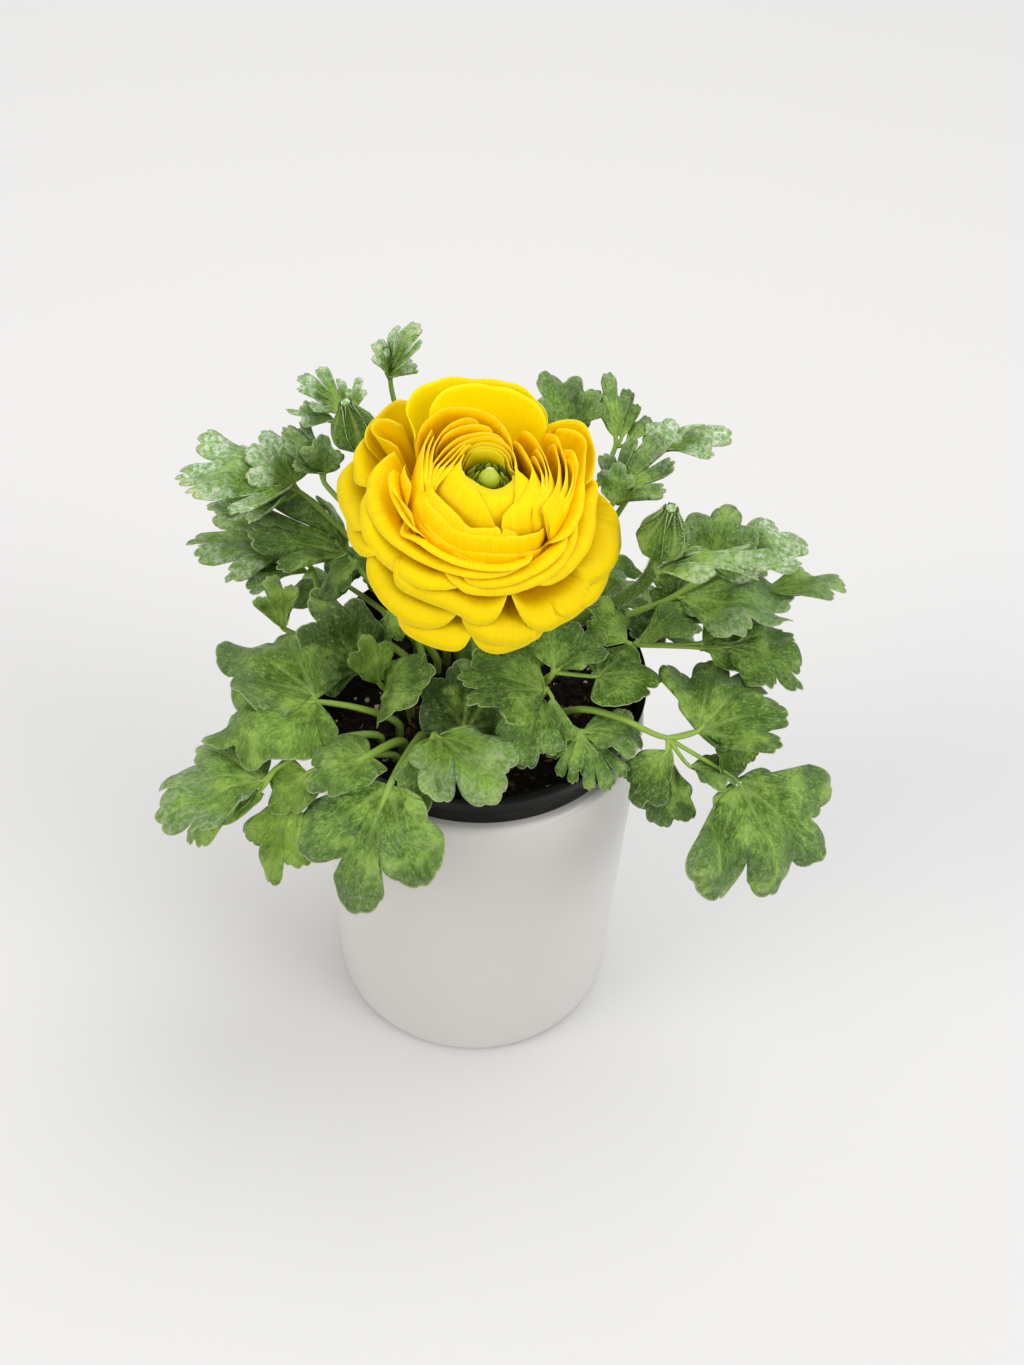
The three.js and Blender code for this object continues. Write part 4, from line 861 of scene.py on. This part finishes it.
def add_bud_stem(pile, row):
    line = bud_stem_line(row)
    points, faces = tube(line, np.linspace(row["thick"], row["thick"] * 0.75, len(line)), 14)
    pile.add(points, faces, look=(0.1, 0.75, -1))
    for bract in row["bracts"]:
        foot = vec(row["centre"]) - unit(row["lean"]) * (row["length"] / 2 + 2)
        rib = add_blade(pile, bract, (0.2, 0.6, 0))
        _, _, _, up = blade_axes(bract)
        line = curve([2 * foot - vec(bract["from"]), foot, vec(bract["from"]), *(rib[1:] - up * 0.4)])
        pile.add(*tube(line, np.linspace(1.3, 0.2, len(line)), 10), look=(0.1, 0, -1))


def add_hair(pile, root, direction, length):
    """One hair: a thin three-sided spike, bent a little by its own weight."""
    direction = unit(direction)
    side = unit(np.cross(direction, (0.31, 0.23, 0.92))) * HAIR_RADIUS
    other = np.cross(direction, side)
    ring = [root + side, root - side / 2 + other, root - side / 2 - other]
    tip = root + direction * length + vec((0, 0, -0.12 * length))
    pile.add([*ring, tip], [(0, 1, 3), (1, 2, 3), (2, 0, 3), (0, 2, 1)])


def add_bud_hairs(pile, row):
    axis, side, front = bud_frame(row)
    for _ in range(HAIRS_ON_BUD):
        height, turn = vec(random.uniform(0.02, 0.95)), vec(random.uniform(0, 2 * np.pi))
        out = np.cos(turn) * side + np.sin(turn) * front
        add_hair(pile, bud_point(row, height, turn, vec(0.4)), out + axis * 0.5, random.uniform(0.7, 1.5))
    line = bud_stem_line(row)[3:-1]
    for _ in range(HAIRS_ON_STEM):
        spot = random.uniform(0, len(line) - 1.01)
        low = int(spot)
        centre = line[low] + (line[low + 1] - line[low]) * (spot - low)
        along = unit(line[low + 1] - line[low])
        out = random.normal(size=3)
        out = unit(out - along * out.dot(along))
        radius = row["thick"] * (1 - 0.25 * spot / len(line)) - 0.1
        add_hair(pile, centre + out * radius, out + along * 0.25, random.uniform(0.7, 1.4))


# Pots
def arc(centre, radius, start, end, steps):
    turns = np.radians(np.linspace(start, end, steps + 1))
    return [(centre[0] + radius * np.cos(t), centre[1] + radius * np.sin(t)) for t in turns]


def filled(profile):
    """A closed profile with points added so that none are further apart than a step."""
    points = []
    for a, b in zip(profile, profile[1:] + profile[:1]):
        count = max(1, round(float(np.hypot(b[0] - a[0], b[1] - a[1])) / POT_STEP))
        points += [tuple(vec(a) + (vec(b) - vec(a)) * i / count) for i in range(count)]
    return points


def add_turned(pile, profile):
    """A body turned from a closed profile of (radius, height) about the axis."""
    profile = vec(filled(profile))
    turns = np.arange(POT_SIDES) * 2 * np.pi / POT_SIDES
    radius, height = profile[:, 0][:, None], profile[:, 1][:, None]
    grid = np.stack(np.broadcast_arrays(radius * np.cos(turns), radius * np.sin(turns), height), axis=-1)
    at = np.arange(len(profile) * POT_SIDES).reshape(-1, POT_SIDES)
    around = np.roll(at, -1, axis=1)
    quads = np.stack([at, around, np.roll(around, -1, axis=0), np.roll(at, -1, axis=0)], axis=-1)
    pile.add(grid, quads.reshape(-1, 4).tolist())


def cover_profile():
    lip = COVER_WALL / 2
    inner = COVER_RADIUS - COVER_WALL
    return [
        (0.01, 0), (40, 0),
        *arc((COVER_BASE_RADIUS - COVER_EDGE, COVER_EDGE), COVER_EDGE, -90, 0, 10),
        *arc((COVER_RADIUS - lip, COVER_HEIGHT - lip), lip, 0, 90, 10),
        *arc((inner + 0.8, COVER_HEIGHT - 0.8), 0.8, 90, 180, 4),
        (COVER_BASE_RADIUS - COVER_WALL, COVER_FLOOR + 3),
        (COVER_BASE_RADIUS - COVER_WALL - 3, COVER_FLOOR), (0.01, COVER_FLOOR)]


def nursery_profile():
    wall = NURSERY_WALL
    band = LIP_TOP - LIP_BAND
    return [
        (0.01, NURSERY_BASE), *arc((NURSERY_BASE_RADIUS - 2, NURSERY_BASE + 2), 2, -90, 0, 5),
        (NECK_RADIUS, COLLAR_SEAT), (COLLAR_RADIUS, COLLAR_SEAT),
        (LIP_RADIUS - 1.1, band - 0.3), (LIP_RADIUS - 1.0, band),
        *arc((LIP_RADIUS - 0.5, band + 0.4), 0.4, -90, 0, 4),
        *arc((LIP_RADIUS - 0.8, LIP_TOP - 0.8), 0.8, 0, 90, 6),
        *arc((LIP_RADIUS - LIP_WIDTH + 0.6, LIP_TOP - 0.6), 0.6, 90, 180, 5),
        (LIP_RADIUS - LIP_WIDTH - 0.1, band),
        (COLLAR_RADIUS - wall, COLLAR_SEAT + wall), (NECK_RADIUS - wall, COLLAR_SEAT + wall),
        (NURSERY_BASE_RADIUS - wall, NURSERY_BASE + wall), (0.01, NURSERY_BASE + wall)]


# Soil
def lumps(x, y):
    """The soil's uneven height at a place."""
    return (0.7 * np.sin(x / 4.1 + 1.3) * np.cos(y / 3.7) + 0.5 * np.sin(x / 1.9 - y / 2.3)
            + 0.35 * np.sin(x / 1.1 + 2) * np.sin(y / 1.2) - 0.6 * smooth(44, 55, np.hypot(x, y)))


def add_soil(pile):
    """The lumpy top and the plain block under it, from the middle of the top to the middle of the floor."""
    rings = np.linspace(0.02, 1, 64) ** 0.8
    turns = np.arange(SOIL_SIDES) * 2 * np.pi / SOIL_SIDES
    radius = SOIL_RADIUS * rings[:, None]
    x, y = radius * np.cos(turns), radius * np.sin(turns)
    top = np.stack([x, y, SOIL_TOP - SOIL_SETTLE + lumps(x, y)], axis=-1)
    under = [np.stack([r * np.cos(turns), r * np.sin(turns), np.full(SOIL_SIDES, z)], axis=-1)
             for r, z in SOIL_BLOCK]
    grid = np.concatenate([top, under])
    at = np.arange(grid.shape[0] * SOIL_SIDES).reshape(-1, SOIL_SIDES)
    around = np.roll(at, -1, axis=1)
    faces = np.stack([at[:-1], at[1:], around[1:], around[:-1]], axis=-1).reshape(-1, 4).tolist()
    pile.add(grid, faces + [at[0].tolist(), at[-1, ::-1].tolist()])


def add_crumb(pile, place, size, stretch, rough, look):
    """A rough grain: a squashed ball with uneven corners."""
    axes = np.linalg.qr(random.normal(size=(3, 3)))[0] * (vec(stretch) * size)[:, None]
    points, faces = ball((0, 0, 0), axes, 5, 6)
    points = points * (1 + rough * random.uniform(-1, 1, (len(points), 1)))
    pile.add(points + vec(place), faces, look=look)


def scatter(pile, count, sizes, stretch, rough, tones):
    for _ in range(count):
        radius = GRAIN_SPREAD * np.sqrt(random.uniform(0, 1))
        turn = random.uniform(0, 2 * np.pi)
        x, y = radius * np.cos(turn), radius * np.sin(turn)
        size = random.uniform(*sizes)
        if radius + size > GRAIN_SPREAD:
            continue
        z = SOIL_TOP - SOIL_SETTLE + lumps(x, y) + size * 0.25
        add_crumb(pile, (x, y, z), size, stretch, rough, (random.uniform(*tones), 0, 0))


def add_perlite_cluster(pile):
    for _ in range(PERLITE_IN_CLUSTER):
        x, y = random.normal(PERLITE_CLUSTER, 2.6)
        z = SOIL_TOP - 1 + lumps(x, y)
        add_crumb(pile, (x, y, z), random.uniform(0.6, 1.3), (1, 0.9, 0.8), 0.2, (0, 0, 0))


# Materials
def rgb(code):
    """A linear colour from a display colour written as hex."""
    parts = [int(code[i:i + 2], 16) / 255 for i in (0, 2, 4)]
    return tuple(((c + 0.055) / 1.055) ** 2.4 if c > 0.04 else c / 12.92 for c in parts) + (1.0,)


class Shade:
    """A material's node tree, with short calls for the nodes that are used often."""

    def __init__(self, name, base, **values):
        self.base = base
        self.material = bpy.data.materials.new(name)
        self.material.use_nodes = True
        self.tree = self.material.node_tree
        self.shader = self.tree.nodes["Principled BSDF"]
        self.set(**values)
        self.place = self.split(self.mark("place"))
        self.look = self.split(self.mark("look"))
        self.spot = self.node("ShaderNodeTexCoord", {}, "Object")

    def set(self, **values):
        for name, value in values.items():
            self.feed(self.shader.inputs[name.replace("_", " ")], value)

    def feed(self, socket, value):
        if isinstance(value, bpy.types.NodeSocket):
            self.tree.links.new(value, socket)
        else:
            socket.default_value = value

    def node(self, kind, inputs, output=0, **settings):
        made = self.tree.nodes.new(kind)
        for name, value in settings.items():
            setattr(made, name, value)
        for name, value in inputs.items():
            self.feed(made.inputs[name], value)
        return made.outputs[output]

    def mark(self, name):
        return self.node("ShaderNodeAttribute", {}, "Vector", attribute_name=name)

    def split(self, vector):
        made = self.tree.nodes.new("ShaderNodeSeparateXYZ")
        self.feed(made.inputs[0], vector)
        return made.outputs

    def math(self, operation, a, b=0.0):
        return self.node("ShaderNodeMath", {0: a, 1: b}, operation=operation)

    def times(self, a, b):
        return self.math("MULTIPLY", a, b)

    def band(self, value, low, high, to_low=0.0, to_high=1.0):
        """The value's way from low to high as a smooth step between two results."""
        return self.node("ShaderNodeMapRange", {"Value": value, "From Min": low, "From Max": high,
                         "To Min": to_low, "To Max": to_high}, interpolation_type="SMOOTHSTEP")

    def mix(self, share, a, b):
        """From one colour to another by a share. A colour is a hex code or a socket."""
        made = self.tree.nodes.new("ShaderNodeMix")
        made.data_type = "RGBA"
        for socket, value in ((0, share), (6, a), (7, b)):
            self.feed(made.inputs[socket], rgb(value) if isinstance(value, str) else value)
        return made.outputs[2]

    def paint(self, share, colour):
        """Lay a colour over what the base colour is so far."""
        self.base = self.mix(share, self.base, colour)
        self.set(Base_Color=self.base)

    def noise(self, scale, detail=3.0, roughness=0.55, where=None):
        return self.node("ShaderNodeTexNoise", {"Vector": where or self.spot, "Scale": scale,
                         "Detail": detail, "Roughness": roughness}, "Fac")

    def bump(self, height, strength, distance):
        made = self.node("ShaderNodeBump", {"Height": height, "Strength": strength, "Distance": distance})
        self.set(Normal=made)


def leaf_material():
    s = Shade("leaf", "719c2c", Roughness=0.45, Specular_IOR_Level=0.2)
    young, pale, dark = s.look
    length, apart, share = s.place
    stalk = s.math("LESS_THAN", dark, -0.5)
    patch = s.noise(70, 3)
    zone = s.math("ADD", share, s.times(s.math("SUBTRACT", patch, 0.5), 1.3))
    fibre = {"X": s.times(apart, 1.5), "Y": s.times(length, 0.55), "Z": patch}
    streak = s.noise(1.0, 4, 0.7, s.node("ShaderNodeCombineXYZ", fibre))
    mottling_and_painted_light = s.noise(85, 4, 0.55)
    s.paint(s.band(zone, 0.1, 0.45), "86b24a")
    s.paint(s.band(zone, 0.5, 0.95), "628a22")
    # Dark strokes along the veins: the leaf's own streaking, with painted shade in the sunken veins.
    s.paint(s.band(streak, 0.36, 0.56, 0.6375, 0.0), "2c480c")
    s.paint(s.times(young, 0.8), s.mix(s.band(zone, 0.2, 0.9), "84ab3a", "9cc24a"))
    s.paint(s.times(s.math("MAXIMUM", dark, 0.0), 0.75), "264411")
    # Dark and pale patches: partly mottling, partly painted shade and painted light for the leaf's relief.
    s.paint(s.band(mottling_and_painted_light, 0.34, 0.54, 0.65, 0.0), "2f520d")
    s.paint(s.band(mottling_and_painted_light, 0.52, 0.66, 0.0, 0.55), "aed45e")
    # Painted highlight: pale strokes along the veins, as on the lit side of the wrinkles.
    s.paint(s.band(streak, 0.54, 0.72, 0.0, 0.55), "b6d866")
    speck = s.band(s.noise(620, 5, 0.75), 0.5, 0.66)
    s.paint(s.times(speck, s.band(s.noise(50, 2), 0.4, 0.62, 0.06, 0.45)), "b8d681")
    bleached = s.mix(s.band(s.noise(500, 4, 0.7), 0.4, 0.62), "8ab96c", "e4f3d4")
    s.paint(s.times(s.band(zone, 0.4, 0.95), pale), bleached)
    creamy = s.times(s.band(share, 0.88, 1.05), s.band(s.noise(60, 2), 0.45, 0.6))
    s.paint(s.times(creamy, pale), "dcdf9c")
    ray = s.times(s.band(apart, 0.2, 1.5, 1.0, 0.0), s.band(share, 0.15, 0.75, 1.0, 0.0))
    s.paint(s.times(ray, 0.5), "a3c068")
    s.paint(s.band(share, 0.975, 1.0), "b7d092")
    s.paint(stalk, s.mix(pale, s.mix(s.noise(60, 2), "789a37", "9dba57"), "4c6a26"))
    side_vein = s.math("PINGPONG", s.math("SUBTRACT", length, s.times(apart, 1.3)), 2.4)
    veins = s.math("ADD", s.times(s.band(side_vein, 0.0, 0.6, 1.0, 0.0), 0.6), ray)
    grain = s.math("ADD", streak, s.times(s.noise(500, 4, 0.65), 0.8))
    relief = s.math("SUBTRACT", grain, s.times(veins, 0.5))
    s.bump(s.times(relief, s.math("SUBTRACT", 1.0, stalk)), 0.95, 0.0012)
    return s.material


def petal_material():
    s = Shade("petal", "ffb900", Roughness=0.5, Specular_IOR_Level=0.1, Subsurface_Weight=0.15,
              Subsurface_Scale=0.0005, Subsurface_Radius=(1.0, 0.6, 0.05))
    across, along, _ = s.place
    tone, outer, green = s.look
    fibre = {"X": across, "Y": s.times(along, 1.5), "Z": s.times(tone, 9.0)}
    streaks = s.noise(1.3, 4, 0.6, s.node("ShaderNodeCombineXYZ", fibre))
    # Painted shade: each petal's foot keeps the deeper orange of the base colour, for the shade in the folds,
    # and turns lemon towards the rim.
    s.paint(s.band(along, 0.1, 0.8), "ffda00")
    s.paint(s.times(s.band(streaks, 0.35, 0.7), 0.45), "ffbe00")
    # The tone varies the yellow at random; on the big back petals it also adds a painted highlight in lemon.
    s.paint(s.times(tone, 0.25), "ffee00")
    s.paint(s.band(outer, 0.78, 0.9, 0.0, 0.6), "e6cb00")
    # Painted highlight: a pale line along each petal's rim, as if the rim caught the light.
    s.paint(s.times(s.band(along, 0.965, 1.0), 0.35), "fff04a")
    s.paint(s.times(green, 0.35), "c6cc1c")
    s.bump(streaks, s.band(outer, 0.4, 0.9, 0.15, 0.6), 0.0008)
    return s.material


def carpel_material():
    s = Shade("carpel", "627a16", Roughness=0.45)
    tone, knob, cap = s.look
    s.paint(tone, "c8d640")
    s.paint(knob, "bccb2c")
    s.paint(cap, "e9e6a4")
    s.paint(s.times(s.noise(500), 0.3), "7c8c2a")
    return s.material


def hair_material():
    s = Shade("hair", "ccdcb8", Roughness=0.5)
    s.paint(s.noise(300), "eef4e4")
    return s.material


def glaze_material():
    s = Shade("white_glaze", "ccc9c4", Roughness=0.34, Specular_IOR_Level=0.5, Coat_Weight=0.15,
              Coat_Roughness=0.25)
    s.paint(s.noise(14, 3), "d2cfcb")
    s.bump(s.noise(60, 3), 0.12, 0.0006)
    return s.material


def plastic_material():
    s = Shade("black_plastic", "050805", Specular_IOR_Level=0.04)
    s.paint(s.noise(90, 4), "0d120c")
    s.set(Roughness=s.band(s.noise(120, 4), 0.3, 0.7, 0.14, 0.28))
    s.bump(s.noise(900, 2), 0.08, 0.0002)
    return s.material


def soil_material():
    s = Shade("soil", "0d0a08", Roughness=0.9, Specular_IOR_Level=0.2)
    s.paint(s.band(s.noise(350, 5, 0.7), 0.35, 0.7), "33271f")
    s.paint(s.look[0], "4a382a")
    s.bump(s.noise(900, 5, 0.7), 0.9, 0.0012)
    return s.material


def perlite_material():
    s = Shade("perlite", "b9ac98", Roughness=0.8)
    s.paint(s.noise(600, 4), "f2ece0")
    s.bump(s.noise(1500, 4), 0.6, 0.0006)
    return s.material


def bark_material():
    s = Shade("bark", "5c3a22", Roughness=0.8)
    s.paint(s.look[0], "b08452")
    s.paint(s.noise(900, 4), "3a2618")
    return s.material


def floor_material():
    """A pale floor, a little darker away from the object: a painted falloff of light around it."""
    s = Shade("studio_floor", "dcdcdd", Roughness=0.9, Specular_IOR_Level=0.0)
    away = s.node("ShaderNodeVectorMath", {0: s.spot}, "Value", operation="LENGTH")
    s.paint(s.noise(3, 2), "dededf")
    # Painted light: the floor darkens away from the object, a falloff of light laid into its colour.
    s.paint(s.band(away, 0.2, 1.2), "d4d4d5")
    return s.material


# Build
def build_camera():
    data = bpy.data.cameras.new("photo_camera")
    data.lens = CAMERA_LENS
    data.sensor_fit = "VERTICAL"
    data.sensor_height = SENSOR
    data.clip_end = 20
    camera = linked("photo_camera", data)
    down, roll = np.radians(CAMERA_DOWN), np.radians(CAMERA_ROLL)
    ahead = vec((0, np.cos(down), -np.sin(down)))
    right, up = vec((1, 0, 0)), vec((0, np.sin(down), np.cos(down)))
    axes = [right * np.cos(roll) + up * np.sin(roll), up * np.cos(roll) - right * np.sin(roll), -ahead]
    turn = Matrix([[axis[i] for axis in axes] for i in range(3)]).to_4x4()
    camera.matrix_world = Matrix.Translation([c * MM for c in CAMERA_PLACE]) @ turn
    bpy.context.scene.camera = camera


def sun(name, towards, power, spread, colour):
    data = bpy.data.lights.new(name, "SUN")
    data.energy = power
    data.angle = np.radians(spread)
    data.color = colour
    linked(name, data).rotation_euler = Vector(towards).to_track_quat("-Z", "Y").to_euler()


def build_studio():
    corners = [(x * FLOOR_REACH, y * FLOOR_REACH, FLOOR_TOP) for x, y in ((-1, -1), (1, -1), (1, 1), (-1, 1))]
    mesh = mesh_of("studio_floor", corners, [(0, 1, 2, 3)])
    mesh.materials.append(floor_material())
    floor = linked("studio_floor", mesh)
    world = bpy.data.worlds.new("studio")
    world.use_nodes = True
    world.node_tree.nodes["Background"].inputs["Color"].default_value = (1, 1, 1, 1)
    world.node_tree.nodes["Background"].inputs["Strength"].default_value = SKY_LIGHT
    bpy.context.scene.world = world
    sun("key", (-0.35, -0.25, -1), KEY_LIGHT, 45, (1, 0.99, 0.97))
    sun("fill_left", (1.1, 0.55, -0.8), FILL_LIGHT, 30, (1, 0.93, 0.83))
    sun("fill_right", (-1, 0.55, -0.8), FILL_LIGHT, 30, (1, 0.99, 0.97))
    bpy.context.scene.view_settings.view_transform = "Standard"


def build(name, material, slot, nodes, *steps):
    """A piece made by steps, each a function that adds to a pile and the values it takes."""
    pile = Pile()
    for add, *values in steps:
        add(pile, *values)
    return pile.make(name, material, slot, *nodes)


def build_leaves(leaf_look):
    for name, row in {**LEAVES, **back_leaves()}.items():
        build(f"{name}_fine", leaf_look, "leaf", [name], (add_leaf, row))


def build_bloom(leaf_look):
    build("petals", petal_material(), "petal", ["bloom_petals"], (add_petals,))
    build("carpels", carpel_material(), "centre", ["bloom_centre"], (add_carpels,))
    build("flower_stem", leaf_look, "stem", ["bloom_stem"], (add_bloom_stem,))


def build_buds(leaf_look):
    hair_look = hair_material()
    for name, row in BUDS.items():
        build(f"{name}_fine", leaf_look, "stem", [name], (add_bud, row), (add_bud_stem, row))
        build(f"{name}_hairs", hair_look, "stem", [], (add_bud_hairs, row))


def add_drain_holes(pot):
    """Cut the drain holes into the nursery pot's floor."""
    cutter = Pile()
    for turn in np.radians(HOLE_TURNS):
        x, y = HOLE_PLACE * np.cos(turn), HOLE_PLACE * np.sin(turn)
        cutter.add(*tube([(x, y, NURSERY_BASE + z) for z in (-2, 1, 4)], HOLE_RADIUS, 24))
    tool = linked("drain_cutter", cutter.mesh("drain_cutter"))
    cut = pot.modifiers.new("drain", "BOOLEAN")
    cut.operation = "DIFFERENCE"
    cut.object = tool
    bpy.context.view_layer.update()
    done = bpy.data.meshes.new_from_object(pot.evaluated_get(bpy.context.evaluated_depsgraph_get()))
    pot.modifiers.remove(cut)
    pot.data = done
    bpy.data.objects.remove(tool)


def build_pots():
    build("white_pot", glaze_material(), "ceramic", ["cover_pot"], (add_turned, cover_profile()))
    pot = build("black_pot", plastic_material(), "plastic", ["nursery_pot"], (add_turned, nursery_profile()))
    add_drain_holes(pot)


def build_soil():
    build("potting_mix", soil_material(), "soil", ["soil"], (add_soil,), (scatter, *CRUMBS))
    build("perlite", perlite_material(), "soil", [], (scatter, *PERLITE), (add_perlite_cluster,))
    build("bark_bits", bark_material(), "soil", [], (scatter, *BARK))


build_camera()
build_studio()
build_pots()
build_soil()
leaf_look = leaf_material()
build_leaves(leaf_look)
build_bloom(leaf_look)
build_buds(leaf_look)
